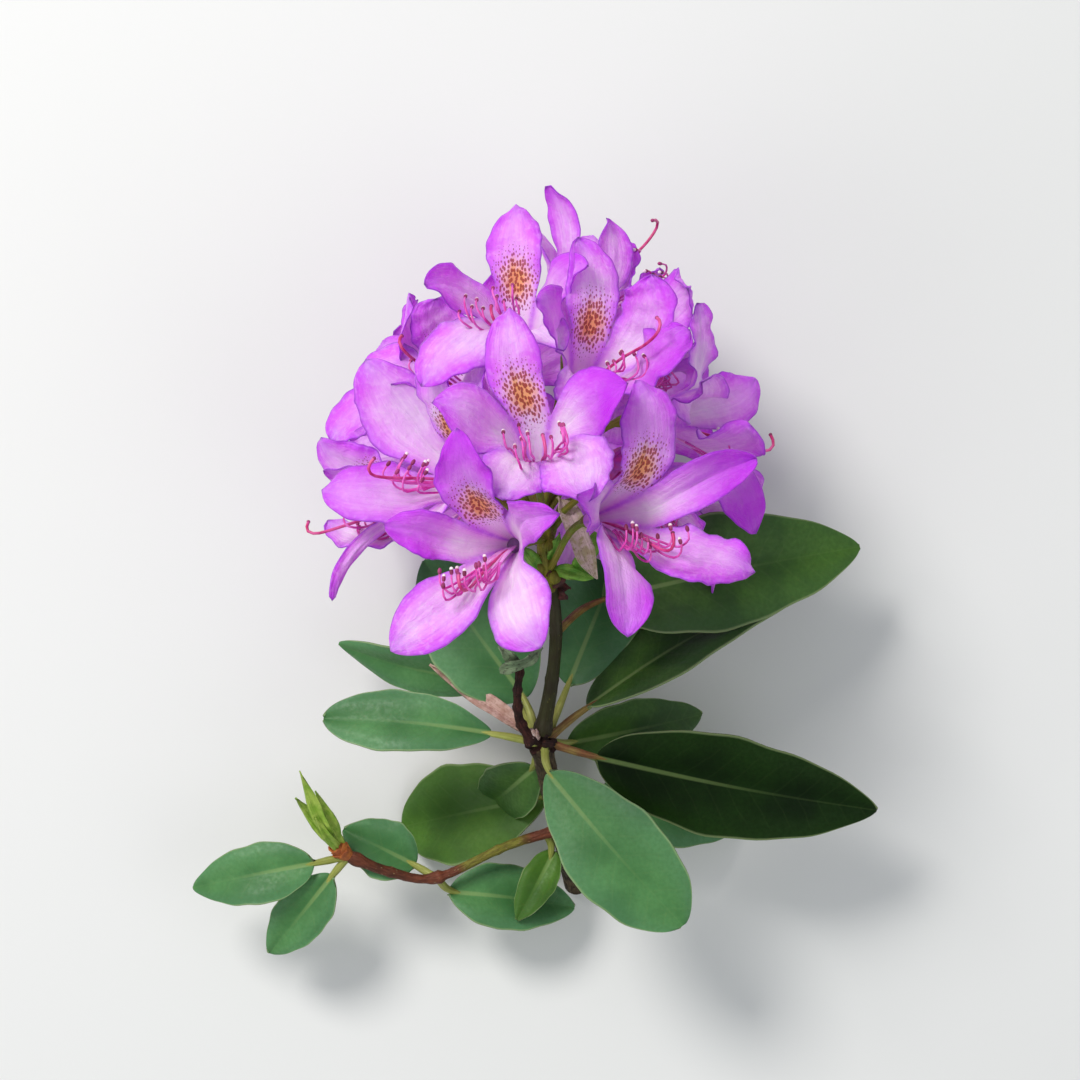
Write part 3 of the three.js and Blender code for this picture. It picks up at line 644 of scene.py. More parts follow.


# Place of the throat and turn of the axis, then the lobes that have values of their own, first where the tip lies.
# The other lobes open evenly, by the bend given in the order upper, left, lower left, lower right, right.
# A tone above zero deepens a lobe or bloom and one below zero pales it: partly its own colour, partly painted shade on
# lobes in shade and painted light on lobes the lamps leave too dark.
blooms = [
    bloomAt([-14.6, 11.6, 56], -18, -3, 8, style=38, lean=-4, droop=11, threads=1.04,
        upper=lobeTo(-23.2, 42.2, 76, half=0.84, hollow=1.9, curl=0.35, tone=0.6, blunt=0.2),
        left=lobeTo(-42.1, 18.1, 66, half=0.68, hollow=0.7, facing=-0.4, tone=0.7, fold=8, bow=1.5, ruffle=1.2),
        lowerLeft=lobeTo(-40.7, -14.6, 60, half=0.96, hollow=-0.5, tone=0.05, ruffle=0.6, blunt=0.0),
        lowerRight=lobeTo(-2, -13.4, 72, half=1.12, hollow=-0.6, tone=-0.15, ruffle=0.6, blunt=0.6, bow=1.6),
        right=lobeTo(2.7, 20.5, 84, half=0.66, hollow=0.2, tone=0.45, blunt=0.0, fold=10, bow=-2.0)),
    bloomAt([-3.2, 40.4, 54], -3, 38, 11, style=28, droop=14.0, bunch=0.35,
        upper=lobeTo(-10.3, 74.7, 50, half=0.8, hollow=-0.5, tone=0.15, ruffle=0.7, blunt=0.2, bow=-2.6),
        left=lobeTo(-29.7, 48.8, 70, half=0.98, hollow=-0.5, facing=0.3, tone=0.05, ruffle=0.5, blunt=0.0, bow=-2.2),
        lowerLeft=lobeTo(-11.7, 24.2, 68, hollow=-0.9, facing=0.3, tone=-0.12, blunt=0.6, ruffle=1.3),
        lowerRight=lobeTo(9.9, 23.6, 73, half=1.08, hollow=-0.3, facing=0.3, tone=-0.15, blunt=0.7, ruffle=1.8),
        right=lobeTo(20.3, 54.2, 64, half=1.06, hollow=-0.2, fold=0, tone=0.85, blunt=0.1, ruffle=0.5, twist=0,
                bow=1.6)),
    bloomAt([20.2, 20.4, 49], 31, 4, -6, style=40, tone=0.05, root=0.2, threads=1.06,
        upper=lobeTo(22.6, 55.4, 54, half=0.92, hollow=-0.4, tone=0.25, ruffle=1.3, blunt=0.2, bow=2.3),
        left=lobeTo(7.2, 25.4, 78, half=0.8, hollow=-0.4, tone=0.45, blunt=-0.3, bow=-3.0, widest=0.25, opens=0.2,
                fold=-4, twist=0),
        lowerLeft=lobeTo(20.2, -10.7, 68, half=0.92, hollow=-0.6, tone=0.35, ruffle=1.0, blunt=0.4, bow=0.6,
                opens=0.2, widest=0.42),
        lowerRight=lobeTo(54, 5.6, 50, hollow=-0.5, tone=0.25, ruffle=1.8, blunt=0.1, tipCurl=-2.2, bow=-2.2),
        right=lobeTo(55, 35.6, 44, half=0.7, hollow=0.1, fold=22, tone=0.8, blunt=0.1, curl=0.15, bow=-2.4)),
    bloomAt([12, 61, 30], 24, 40, -4, lean=7,
        upper=lobeTo(8, 95.5, 30, half=0.85, hollow=0.4, tone=-0.05, ruffle=1.2),
        left=lobeTo(-3.3, 76.2, 55, half=0.8, hollow=-0.3, tone=0.5, blunt=0.2),
        lowerLeft=lobeTo(9, 47, 44, half=0.9, tone=-0.1, twist=0),
        lowerRight=lobeTo(37.3, 69.4, 44, half=1.2, ruffle=2.4, facing=1.2, tone=0.6, crinkle=3.5, blunt=0.8),
        right=lobeTo(27.5, 84.8, 37, ruffle=2.2, facing=0.6, tone=0.2, crinkle=3.0)),
    bloomAt([-8.5, 74, 25], -6, 50, 4, style=27, lean=-7,
        upper=lobeTo(-8.6, 106, 14, half=0.84, hollow=0.3, tone=0.2, blunt=-0.5, ruffle=1.4),
        left=lobeTo(-32.8, 81.6, 43, half=0.7, hollow=-0.3, facing=0.4, tone=0.4, blunt=0.2, bow=-1.6),
        lowerLeft=lobeTo(-33.6, 54.6, 42, half=1.1, hollow=-0.4, facing=0.1, tone=0.12, fold=0, twist=0, ruffle=1.5,
                blunt=0.6, crinkle=2.0),
        lowerRight=lobeTo(4, 64, 42, half=0.62, tone=-0.15, fold=0, twist=0),
        right=lobeTo(10.4, 87, 38, half=0.66, hollow=0.1, tone=0.4, blunt=0.1, fold=0, twist=0, ruffle=0.6,
                bow=-1.0)),
    bloomAt([-26, 32, 24], -55, 12, -16, droop=7,
        upper=lobeTo(-27.2, 61.4, 38, half=0.95, tone=0.1),
        left=lobeTo(-49.4, 63.0, 24, half=1.2, hollow=0.1, facing=0.25, tone=-0.08, blunt=0.8, ruffle=1.0, twist=0,
                fold=0, leave=0.14, curl=0.2),
        lowerLeft=lobeTo(-61.7, 27.6, 20, half=1.05, hollow=-0.3, facing=0.3, tone=0.35),
        lowerRight=lobeTo(-32.7, 12.7, 40, tone=0.1)),
    bloomAt([-25.5, 58, 10], -45, 36, 28,
        upper=lobeTo(-30.6, 80, 18, half=0.9, facing=0.4, tone=0.1, ruffle=1.5, crinkle=2.5),
        right=lobeTo(-13, 72, 3, half=0.9, tone=0.1),
        left=lobeTo(-53, 60.4, 2, half=0.95, facing=0.5, tone=0.0),
        lowerLeft=lobeTo(-42.5, 56.4, 24, half=0.7, tone=0.1, twist=0)),
    bloomAt([39.5, 48, 4], 76, 2, -2, style=41, tone=0.1, droop=12.0, blotch=0,
        upper=lobeTo(41.5, 80, 4, half=0.72, hollow=-0.8, facing=0.4, tone=-0.05, bow=1.0, twist=0, ruffle=1.6,
                leave=0.12, widest=0.22, opens=0.2, blunt=0.8),
        lowerLeft=lobeTo(54.6, 44.8, 30, half=1.05, facing=0.6, tone=0.3),
        left=lobeTo(41.5, 56.5, 27, half=0.9, hollow=0.4, facing=4.0, tone=-0.2, blunt=0.9, tipCurl=2.0, twist=0,
                fold=0, leave=0.16),
        right=lobeTo(58.6, 60, -12, half=0.88, facing=0.9, tone=0.25, blunt=-0.3),
        lowerRight=lobeTo(59.2, 15.8, -10, half=0.86, fold=4, facing=0.8, tone=0.7, leave=0.1, bow=1.5)),
    bloomAt([-40, 24, 2], -84, -12, 36, style=46, droop=5,
        upper=lobeTo(-63.6, 42.8, -2, half=0.95, facing=0.9, tone=0.1, blunt=0.7),
        left=lobeTo(-57, 29, -23, tone=-0.2),
        lowerLeft=lobeTo(-62, 19.6, -4, half=0.72, facing=0.9, tone=-0.3, ruffle=2.2, blunt=0.7, widest=0.6,
                leave=0.16),
        lowerRight=lobeTo(-59.3, -2.6, 16, half=0.25, hollow=-1.2, facing=0.5, tone=0.15, ruffle=0.1, blunt=1.0,
                twist=0, fold=0, opens=0.16, widest=0.93),
        right=lobeTo(-62, 33, 12, half=0.8, facing=0.7, tone=0.0)),
    bloomAt([10, 84, -10], 120, 74, 28, droop=14, lean=-13, bend=[0, 0, 0, -32, 0],
        upper=lobeTo(-0.8, 112.4, 4, half=0.55, hollow=1.6, tone=0.2, blunt=0.2),
        left=lobeTo(16.4, 104.1, 0, half=0.7, tone=0.0, blunt=0.0),
        lowerLeft=lobeTo(22.5, 99, -12, half=0.9, tone=0.4),
        right=lobeTo(-5.1, 103.6, -25, tone=0.3)),
    bloomAt([29, 69.5, -16], 92, 40, 0, style=16, threads=0.5,
        upper=lobeTo(32, 91.7, -15, half=0.9, facing=0.6, tone=0.25),
        left=lobeTo(38.5, 83.4, 11, ruffle=2.2, facing=0.9, tone=0.2, crinkle=3.0),
        lowerLeft=lobeTo(45, 70, -8, half=0.85, facing=0.4, tone=0.2),
        lowerRight=lobeTo(41.5, 57.5, -12, half=0.95, facing=0.4, tone=0.3, twist=0)),
    bloomAt([-36.5, 59, -16], -80, 30, 10, style=20, bend=[0, 0, 0, 0, -10],
        upper=lobeTo(-37.1, 82.6, -15, half=0.9, facing=0.5, tone=0.3),
        left=lobeTo(-48.2, 71.1, -35, half=0.9, facing=0.6, tone=0.3),
        lowerLeft=lobeTo(-63, 42.9, -25, facing=0.9, tone=0.2, blunt=0.7),
        lowerRight=lobeTo(-46, 42, -6, tone=0.2, twist=0)),
    bloomAt([39, 28, -12], 86, -26, 0, style=24, threads=0.72, bend=[-30, -12, -10, -26, -20],
        upper=lobeTo(50, 46, -16, tone=0.2, twist=0),
        left=lobeTo(50, 38, 10, half=0.8, tone=0.2, twist=0),
        lowerLeft=lobeTo(40, 11, 10, half=0.8, tone=0.2, twist=0)),
    bloomAt([-39, 38, -20], -104, -8, 0, bend=[-40, -24, -28, -30, -30],
        upper=lobeTo(-54, 60, -26, half=0.9, tone=0.2),
        lowerRight=lobeTo(-54, 25.5, -24, half=0.8, tone=0.2, twist=0),
        right=lobeTo(-57, 38, -22, half=0.8, tone=0.2, twist=0)),
    bloomAt([-25, 24, -34], -145, -16, 10, style=26, threads=0.75,
        lowerRight=lobeTo(-30, 11, -56, tone=0.2)),
    bloomAt([12, 19, -38.1], 160, -16, 0),
    bloomAt([20, 57, -33.8], 150, 26, 0,
        left=lobeTo(44, 60, -40, tone=0.2)),
    bloomAt([-12, 60, -36], -166, 26, 0),
]
for i, bloom in enumerate(blooms):
    corollaPiece(i + 1, bloom)
print("petals made")


# Materials of threads, stalks and bark
def threadMaterial(name, colour, other, roughness=0.4, glow=0.15):
    material, tree, shader = newMaterial(name)
    cloud = clouds(tree, 260.0, 0.35, 0.65)
    feed(shader, {
        "Base Color": blend(cloud["Mask"], colour, other), "Roughness": roughness, "Subsurface Weight": glow,
        "Subsurface Scale": 0.001,
    })
    addBump(shader, cloud["Height"], 0.3, 0.0003)
    return material


# Bark and green skin follow each limb by the ring and run values that its tree stores.
def barkMaterial(name, look):
    material, tree, shader = newMaterial(name)
    base, other, dark, pale = [tint(*look[key]) for key in ("base", "other", "dark", "pale")]
    x, y, _ = partsOf(stored(tree, "ringPlace", "Vector"))
    run = times(stored(tree, "runAlong"), 1 / mm)
    place = joined(tree, x, y, run)
    fibre = fibres(place, (2.6, 2.6, look["fibre"]), 0.6)
    colour = blend(clouds(tree, look["cloud"], 0.36, 0.64)["Mask"], base, other)
    if name == "twig_bark":
        low, high = youngSkin["from"], youngSkin["to"]
        young = times(span(run, low, low + 6.0), span(run, high, high + 4.0, 1.0, 0.0))
        colour = blend(young, colour, youngSkin["colour"])
    colour = blend(times(fibre["Mask"], look["streak"]), colour, dark)
    fleck = span(cellsIn(place, (1.3, 1.3, 0.45), 1.0), 0.1, 0.2, 1.0, 0.0)
    colour = blend(times(fleck, look["flecks"]), colour, pale)
    rough = span(fibre["Height"], 0.3, 0.7, look["roughness"] - 0.1, look["roughness"] + 0.12)
    feed(shader, {"Base Color": colour, "Roughness": rough, "Specular IOR Level": 0.28})
    addBump(shader, plus(fibre["Height"], times(fleck, 0.35)), look["bump"], 0.0008)
    return material


youngSkin = {"colour": tint(122, 118, 40), "from": 9.0, "to": 30.0}  # millimetres from the twig's foot
barkKeys = ["base", "other", "dark", "pale", "fibre", "cloud", "streak", "flecks", "roughness", "bump"]
barkRows = {
    "stem_bark": ((92, 74, 48), (60, 50, 30), (34, 24, 15), (150, 134, 104), 0.35, 160.0, 0.75, 0.5, 0.75, 0.9),
    "twig_bark": ((112, 58, 36), (84, 44, 26), (46, 22, 14), (170, 140, 100), 0.35, 110.0, 0.5, 0.6, 0.55, 0.8),
    "green_skin": ((44, 44, 6), (40, 36, 8), (32, 20, 8), (92, 90, 34), 0.2, 130.0, 0.35, 0.35, 0.5, 0.5),
    "axis_skin": ((138, 132, 36), (100, 104, 24), (62, 52, 16), (164, 150, 60), 0.25, 190.0, 0.45, 0.5, 0.6, 0.9),
    "pedicel_skin": ((112, 128, 28), (126, 116, 36), (70, 70, 18), (150, 150, 84), 0.2, 150.0, 0.35, 0.3, 0.5, 0.5),
    "petiole_skin": ((164, 170, 88), (138, 146, 66), (118, 112, 50), (190, 190, 120), 0.2, 120.0, 0.4, 0.2, 0.45, 0.5),
    "petiole_brown": ((128, 84, 48), (146, 128, 62), (78, 46, 28), (160, 128, 84), 0.2, 120.0, 0.5, 0.3, 0.5, 0.5),
    "dead_bark": ((62, 26, 18), (36, 14, 10), (18, 8, 6), (112, 62, 46), 0.4, 220.0, 0.6, 0.5, 0.8, 1.0),
}
barks = {name: barkMaterial(name, dict(zip(barkKeys, row))) for name, row in barkRows.items()}
filamentPink = threadMaterial("filament", tint(204, 40, 156), tint(230, 104, 196))
filamentBase = threadMaterial("filament_foot", tint(246, 190, 236), tint(232, 136, 212))
styleRed = threadMaterial("style", tint(190, 28, 104), tint(216, 84, 150))
antherDark = threadMaterial("anther", tint(112, 18, 62), tint(170, 56, 120), 0.6, 0.0)
pollenPale = threadMaterial("pollen", tint(246, 236, 232), tint(230, 206, 214), 0.8, 0.0)


# Geometry trees: one for limbs, one for threads with a head at their end
def geometryTree(name, inputs):
    sockets = [("Geometry", "NodeSocketGeometry", None)] + inputs
    return newGroup(name, "GeometryNodeTree", sockets, [("Geometry", "NodeSocketGeometry")])


def named(tree, name):
    return put(tree, "GeometryNodeInputNamedAttribute", {"Name": name}, data_type="FLOAT").outputs["Attribute"]


def keepNamed(geometry, name, value, kind="FLOAT"):
    inputs = {"Geometry": geometry, "Name": name, "Value": value}
    return first(geometry.id_data, "GeometryNodeStoreNamedAttribute", inputs, data_type=kind, domain="POINT")


def circleOf(sides):
    return first(sides.id_data, "GeometryNodeCurvePrimitiveCircle", {"Resolution": sides, "Radius": 1.0})


def swept(curve, ring):
    return first(curve.id_data, "GeometryNodeCurveToMesh", {
        "Curve": curve, "Profile Curve": ring, "Scale": named(curve.id_data, "girth"), "Fill Caps": True,
    })


def change(kind, geometry, **inputs):
    return first(geometry.id_data, kind, {"Geometry": geometry, **inputs})


def makeLimbTree():
    tree, given, out = geometryTree("limbAlongPath", [
        ("Sides", "NodeSocketInt", 16),
        ("Relief", "NodeSocketFloat", 0.0002),
        ("Relief Scale", "NodeSocketFloat", 600.0),
        ("Seed", "NodeSocketFloat", 1.0),
        ("Material", "NodeSocketMaterial", None),
    ])
    curve = first(tree, "GeometryNodeMeshToCurve", {0: given["Geometry"]})
    curve = keepNamed(curve, "runAlong", put(tree, "GeometryNodeSplineParameter").outputs["Length"])
    position = first(tree, "GeometryNodeInputPosition")
    limb = swept(curve, keepNamed(circleOf(given["Sides"]), "ringPlace", position, "FLOAT_VECTOR"))
    noise = first(tree, "ShaderNodeTexNoise", {
        "Vector": position, "W": given["Seed"], "Scale": given["Relief Scale"], "Detail": 3.0,
    }, noise_dimensions="4D")
    relief = {0: first(tree, "GeometryNodeInputNormal"), "Scale": offMiddle(noise, given["Relief"])}
    push = first(tree, "ShaderNodeVectorMath", relief, operation="SCALE")
    limb = change("GeometryNodeSetShadeSmooth", change("GeometryNodeSetPosition", limb, Offset=push))
    limb = change("GeometryNodeRealizeInstances", limb)
    feed(out, {"Geometry": change("GeometryNodeSetMaterial", limb, Material=given["Material"])})
    return tree


def makeThreadTree():
    sizes = [
        ("Steps", "NodeSocketInt", 30),
        ("Sides", "NodeSocketInt", 6),
        ("Head Length", "NodeSocketFloat", 0.0022),
        ("Head Width", "NodeSocketFloat", 0.001),
        ("Pollen Share", "NodeSocketFloat", 0.5),
        ("Seed", "NodeSocketInt", 4),
        ("Foot Share", "NodeSocketFloat", 0.5),
    ]
    materials = [(part + " Material", "NodeSocketMaterial", None) for part in ("Foot", "Thread", "Head", "Pollen")]
    tree, given, out = geometryTree("threadsWithHeads", sizes + materials)
    curve = first(tree, "GeometryNodeMeshToCurve", {0: given["Geometry"]})
    curve = first(tree, "GeometryNodeCurveSplineType", {0: curve}, spline_type="CATMULL_ROM")
    curve = first(tree, "GeometryNodeResampleCurve", {"Curve": curve, "Count": given["Steps"]})
    curve = keepNamed(curve, "runShare", put(tree, "GeometryNodeSplineParameter").outputs["Factor"])
    thread = swept(curve, circleOf(given["Sides"]))
    thread = change("GeometryNodeSetMaterial", thread, Material=given["Thread Material"])
    low = calc("LESS_THAN", named(tree, "runShare"), given["Foot Share"])
    thread = change("GeometryNodeSetMaterial", thread, Selection=low, Material=given["Foot Material"])
    ends = first(tree, "GeometryNodeCurveEndpointSelection", {"Start Size": 0, "End Size": 1})
    tangent = first(tree, "GeometryNodeInputTangent")
    turn = first(tree, "FunctionNodeAlignRotationToVector", {"Vector": tangent}, axis="Z")

    def onEnds(thing, selection, material):
        inputs = {"Points": curve, "Selection": selection, "Instance": thing, "Rotation": turn}
        placed = first(tree, "GeometryNodeInstanceOnPoints", inputs)
        return change("GeometryNodeSetMaterial", placed, Material=given[material])

    ball = first(tree, "GeometryNodeMeshUVSphere", {"Segments": 8, "Rings": 6, "Radius": 0.5})
    width, length = given["Head Width"], given["Head Length"]
    head = change("GeometryNodeTransform", ball, Scale=joined(tree, width, width, length))
    grain, lift = times(width, 0.95), times(length, 0.42)
    lift, size = joined(tree, 0.0, 0.0, lift), joined(tree, grain, grain, grain)
    grain = change("GeometryNodeTransform", ball, Translation=lift, Scale=size)
    chance = put(tree, "FunctionNodeRandomValue", {
        "Probability": given["Pollen Share"], "Seed": given["Seed"],
    }, data_type="BOOLEAN").outputs[3]
    dusted = first(tree, "FunctionNodeBooleanMath", {0: ends, 1: chance}, operation="AND")
    join = tree.nodes.new("GeometryNodeJoinGeometry")
    for part in (thread, onEnds(head, ends, "Head Material"), onEnds(grain, dusted, "Pollen Material")):
        tree.links.new(part, join.inputs[0])
    whole = change("GeometryNodeRealizeInstances", join.outputs[0])
    feed(out, {"Geometry": change("GeometryNodeSetShadeSmooth", whole)})
    return tree


limbTree = makeLimbTree()
threadTree = makeThreadTree()


# Paths with a girth at each point become one object that a tree then builds on.
def pathObject(name, paths):
    points, edges, girths = [], [], []
    for line, girth in paths:
        start = len(points)
        points.extend(line)
        girths.extend(np.broadcast_to(girth, len(line)))
        edges.extend([start + k, start + k + 1] for k in range(len(line) - 1))
    mesh = bpy.data.meshes.new(name)
    mesh.from_pydata(toFrame(points).tolist(), edges, [])
    keepValues(mesh, "girth", "POINT", np.asarray(girths, np.float32) * mm)
    return newObject(name, mesh)


def grow(name, paths, tree, inputs):
    piece = pathObject(name, paths)
    modifier = piece.modifiers.new("grow", "NODES")
    modifier.node_group = tree
    for item in tree.interface.items_tree:
        if item.in_out == "INPUT" and item.name in inputs:
            modifier[item.identifier] = inputs[item.name]
    return plainMesh(piece)


def limbPiece(name, paths, material, slot, nodes=(), sides=16, relief=0.15, reliefScale=600.0, seed=1.0):
    inputs = {"Sides": sides, "Relief": relief * mm, "Relief Scale": reliefScale, "Seed": seed}
    return settle(grow(name, paths, limbTree, {**inputs, "Material": barks[material]}), slot, *nodes)


# Girth along a limb, swollen at its nodes
def girthOf(radii, count, swellings=()):
    share = np.linspace(0, 1, count)
    girth = np.interp(share, np.linspace(0, 1, len(radii)), radii)
    for at, height, width in swellings:
        girth = girth + height * bell(share - at, width)
    return girth


# Stamens and style, in the bloom's own frame: they lie along the lower lobes and their tips curl up again.
stamenShape = {
    "count": 10,
    "shortest": 27.0,
    "longest": 36.0,
    "radius": 0.32,
    "styleLength": 44.0,
    "styleRadius": 0.42,
    "antherLength": 1.9,
    "antherWidth": 1.1,
    "sideways": 7.4,
    "droop": 12.5,
    "hook": 4.6,
    "seed": 12,
}


def threadLine(side, length, droop, hook, reach, lean=0.0):
    line = np.array([
        [0.1 * reach * side, -0.2, 0.3],
        [0.14 * reach * side, -0.6, 3],
        [0.3 * reach * side, -0.2 * droop, 0.3 * length],
        [0.62 * reach * side, -0.55 * droop, 0.6 * length],
        [0.86 * reach * side, -0.9 * droop, 0.82 * length],
        [0.98 * reach * side, -droop, 0.95 * length],
        [1.02 * reach * side, -droop + 0.4 * hook, length],
        [1.0 * reach * side, -droop + hook, 0.98 * length],
    ])
    line[:, 0] += lean * np.array([0, 0, 0.1, 0.4, 0.75, 0.92, 1, 1])
    return line


def stamenPaths(number, bloom):
    shape = stamenShape
    dice = np.random.default_rng(shape["seed"] * 100 + number)
    paths = []
    for k in range(shape["count"]):
        side = -1 + 2 * k / (shape["count"] - 1)
        side = np.sign(side) * abs(side) ** bloom.get("bunch", 0.7) + dice.uniform(-0.1, 0.1)
        length = mix(shape["shortest"], shape["longest"], dice.uniform(0, 1) * (0.5 + 0.5 * (k % 2)))
        length = length * bloom.get("threads", 1.0)
        droop = bloom.get("droop", shape["droop"]) * dice.uniform(0.6, 1.12)
        hook = shape["hook"] * dice.uniform(0.75, 1.3)
        reach = shape["sideways"] * dice.uniform(0.8, 1.15)
        line = threadLine(side, length, droop, hook, reach, bloom.get("lean", 0.0))
        line[3:6] += dice.normal(0, 0.4, (3, 3))
        paths.append((placeBloom(bloom, line), shape["radius"] * np.array([1.1, 1.1, 1.05, 1.0, 1.0, 1.0, 0.9, 0.75])))
    return paths


def stylePath(bloom):
    shape = stamenShape
    droop = 0.84 * bloom.get("droop", shape["droop"])
    length = bloom.get("style", shape["styleLength"])
    line = threadLine(0.12, length, droop, 4.5, shape["sideways"], bloom.get("lean", 0.0))
    return placeBloom(bloom, line), shape["styleRadius"] * np.array([0.8, 0.8, 0.9, 1.0, 1.0, 1.0, 1.05, 1.1])


threadInputs = {
    "Head Length": stamenShape["antherLength"] * mm, "Head Width": stamenShape["antherWidth"] * mm,
    "Foot Material": filamentBase, "Thread Material": filamentPink, "Head Material": antherDark,
    "Pollen Material": pollenPale,
}
styleInputs = {
    **threadInputs, "Head Length": 0.9 * mm, "Head Width": 1.15 * mm, "Pollen Share": 0.0, "Foot Share": 0.15,
    "Sides": 8, "Thread Material": styleRed,
}
stamenLines = [path for i, bloom in enumerate(blooms) for path in stamenPaths(i + 1, bloom)]
settle(grow("stamens", stamenLines, threadTree, threadInputs), "petal")
settle(grow("styles", [stylePath(bloom) for bloom in blooms], threadTree, styleInputs), "petal")
print("stamens made")

# Pedicels, from the truss axis to the foot of each corolla, with a small calyx
trussTip = np.array([-1.5, 25, 9.5])
pedicelShape = {"radius": 0.95, "neckRadius": 1.5, "calyxRadius": 1.9, "endRadius": 1.95, "steps": 28}


def pedicelPath(bloom):
    axes, base = bloomAxes(bloom)
    d = axes[2]
    reach = base @ unit(trussTip) / np.linalg.norm(trussTip)
    root = trussTip * bloom.get("root", np.clip(0.18 + 0.4 * reach, 0.12, 0.95))
    out = base - root
    length = np.linalg.norm(out)
    out = out / length
    shape = pedicelShape
    line = bezier([root, root + out * length * 0.35, base - d * length * 0.35, base + d * 0.1], shape["steps"])
    girth = girthOf([shape["radius"], shape["radius"], shape["radius"] + 0.2], shape["steps"])
    girth[-3:] = [shape["neckRadius"], shape["calyxRadius"], shape["endRadius"]]
    return line, girth


limbPiece("pedicels", [pedicelPath(bloom) for bloom in blooms], "pedicel_skin", "green_stalk", sides=12, relief=0.12)

# Stem, stalks and twig. A knot has its share of the length, its height and its width. A skin has its material, slot,
# node and number of sides, then the relief with its scale and seed.
limbs = {
    "stem_bark": {
        "route": [[-2, -44, -16], [1, -58, -28], [4.5, -72, -41], [9, -90, -61.7]],
        "steps": 72,
        "radii": [3.1, 3.1, 3.9],
        "knots": [(0.02, 0.7, 0.04), (0.3, 0.25, 0.02), (0.52, 0.5, 0.05), (0.8, 0.2, 0.03)],
        "skin": ("stem_bark", "bark", ["stem"], 28, 0.5, 420.0, 2.0),
    },
    "stalk_skin": {
        "route": [[0.1, 0.6, 0.3], [1.6, -3, -1.4], [2.2, -14, -4], [0.8, -28, -9.5], [-1.6, -41, -15]],
        "steps": 56,
        "radii": [1.8, 1.8, 2.3],
        "knots": [(0.02, 0.5, 0.05), (0.3, 0.15, 0.02), (0.62, 0.18, 0.02), (0.97, 0.6, 0.05)],
        "skin": ("green_skin", "green_stalk", ["flower_stalk"], 20, 0.22, 500.0, 3.0),
    },
    "twig_bark": {
        "route": [[4.6, -71, -40], [-12, -76, -38.5], [-32.5, -85, -36], [-46, -83, -33], [-58, -78, -30]],
        "steps": 96,
        "radii": [1.6, 1.3, 1.35, 1.6],
        "knots": [(0.03, 0.7, 0.03), (0.3, 0.25, 0.012), (0.58, 0.75, 0.014), (0.61, 0.5, 0.02), (0.8, 0.25, 0.012),
                  (0.96, 0.6, 0.03)],
        "skin": ("twig_bark", "bark", ["side_twig"], 18, 0.32, 520.0, 4.0),
    },
    "spent_bark": {
        "route": [[-4.5, -43.5, -13], [-8, -37, -9], [-8.6, -29, -4], [-7.6, -21, 0]],
        "steps": 60,
        "radii": [1.5, 1.2, 1.0],
        "knots": [(0.03, 0.8, 0.05), (0.25, 0.45, 0.03), (0.48, 0.4, 0.03), (0.7, 0.45, 0.03), (0.9, 0.4, 0.04)],
        "skin": ("dead_bark", "spent_wood", ["spent_stalk"], 14, 0.6, 700.0, 5.0),
    },
    "axis_skin": {
        "route": [[0, 0, 0], trussTip * 0.5, trussTip],
        "steps": 40,
        "radii": [2.6, 2.6, 2.2, 1.2],
        "knots": [(0.3, 0.4, 0.05), (0.6, 0.4, 0.05), (0.8, 0.3, 0.04)],
        "skin": ("axis_skin", "green_stalk", ["truss_axis"], 18, 0.35, 500.0, 6.0),
    },
}
axisKnobs = [(0.15, 40, 2.3), (0.25, 140, 2.1), (0.5, 70, 1.9)]  # share, turn, radius


def knobPath(share, turn, radius):
    turn = math.radians(turn)
    ball = np.linspace(-1, 1, 14)
    middle = trussTip * share + 2.6 * np.array([math.cos(turn), 0, math.sin(turn)])
    line = middle + np.array([0, 1, 0.3]) * ball[:, None] * radius * 0.95
    return line, radius * np.sqrt(np.maximum(0.01, 1 - ball ** 2))


for name, limb in limbs.items():
    paths = [(throughPoints(limb["route"], limb["steps"]), girthOf(limb["radii"], limb["steps"], limb["knots"]))]
    if name == "axis_skin":
        paths += [knobPath(*knob) for knob in axisKnobs]
    limbPiece(name, paths, *limb["skin"])
print("limbs made")

# Leaves
leafShape = {
    "thickness": 0.55,
    "groove": 0.4,  # depth of the midrib on top
    "ribHeight": 0.9,  # of the midrib below
    "rollEdge": 1.0,  # fall of the margin
    "wave": 0.7,
    "rows": 46,
    "columns": 18,
    "seed": 5,
    "veinGap": 6.8,  # millimetres between side veins
    "rib": tint(136, 162, 96),
    "rim": tint(150, 168, 116),
    "under": tint(142, 156, 96),
}


def leafLook(base, light, sheen, gloss=0.3):
    return {"base": tint(*base), "light": tint(*light), "sheen": tint(*sheen), "gloss": gloss, "veins": gloss * 0.13}


# Base and light colours mottle the leaf; the sheen colour is a painted sky reflection.
leafLooks = {
    "leaf": leafLook((54, 104, 52), (80, 132, 74), (96, 142, 104)),
    # A darker, duller copy of the leaf colours: painted shade for a leaf that lies in shade.
    "leaf_painted_shade": leafLook((8, 28, 2), (20, 46, 6), (38, 68, 20), 0.1),
    "leaf_dark": leafLook((34, 70, 18), (66, 106, 32), (70, 106, 56)),
    "leaf_lime": leafLook((52, 92, 18), (80, 124, 32), (86, 124, 52)),
}
leafSides = {
    "_top": {"rough": (0.44, 0.58)},
    "_under": {"rough": (0.6, 0.75), "veins": 0.3},
}


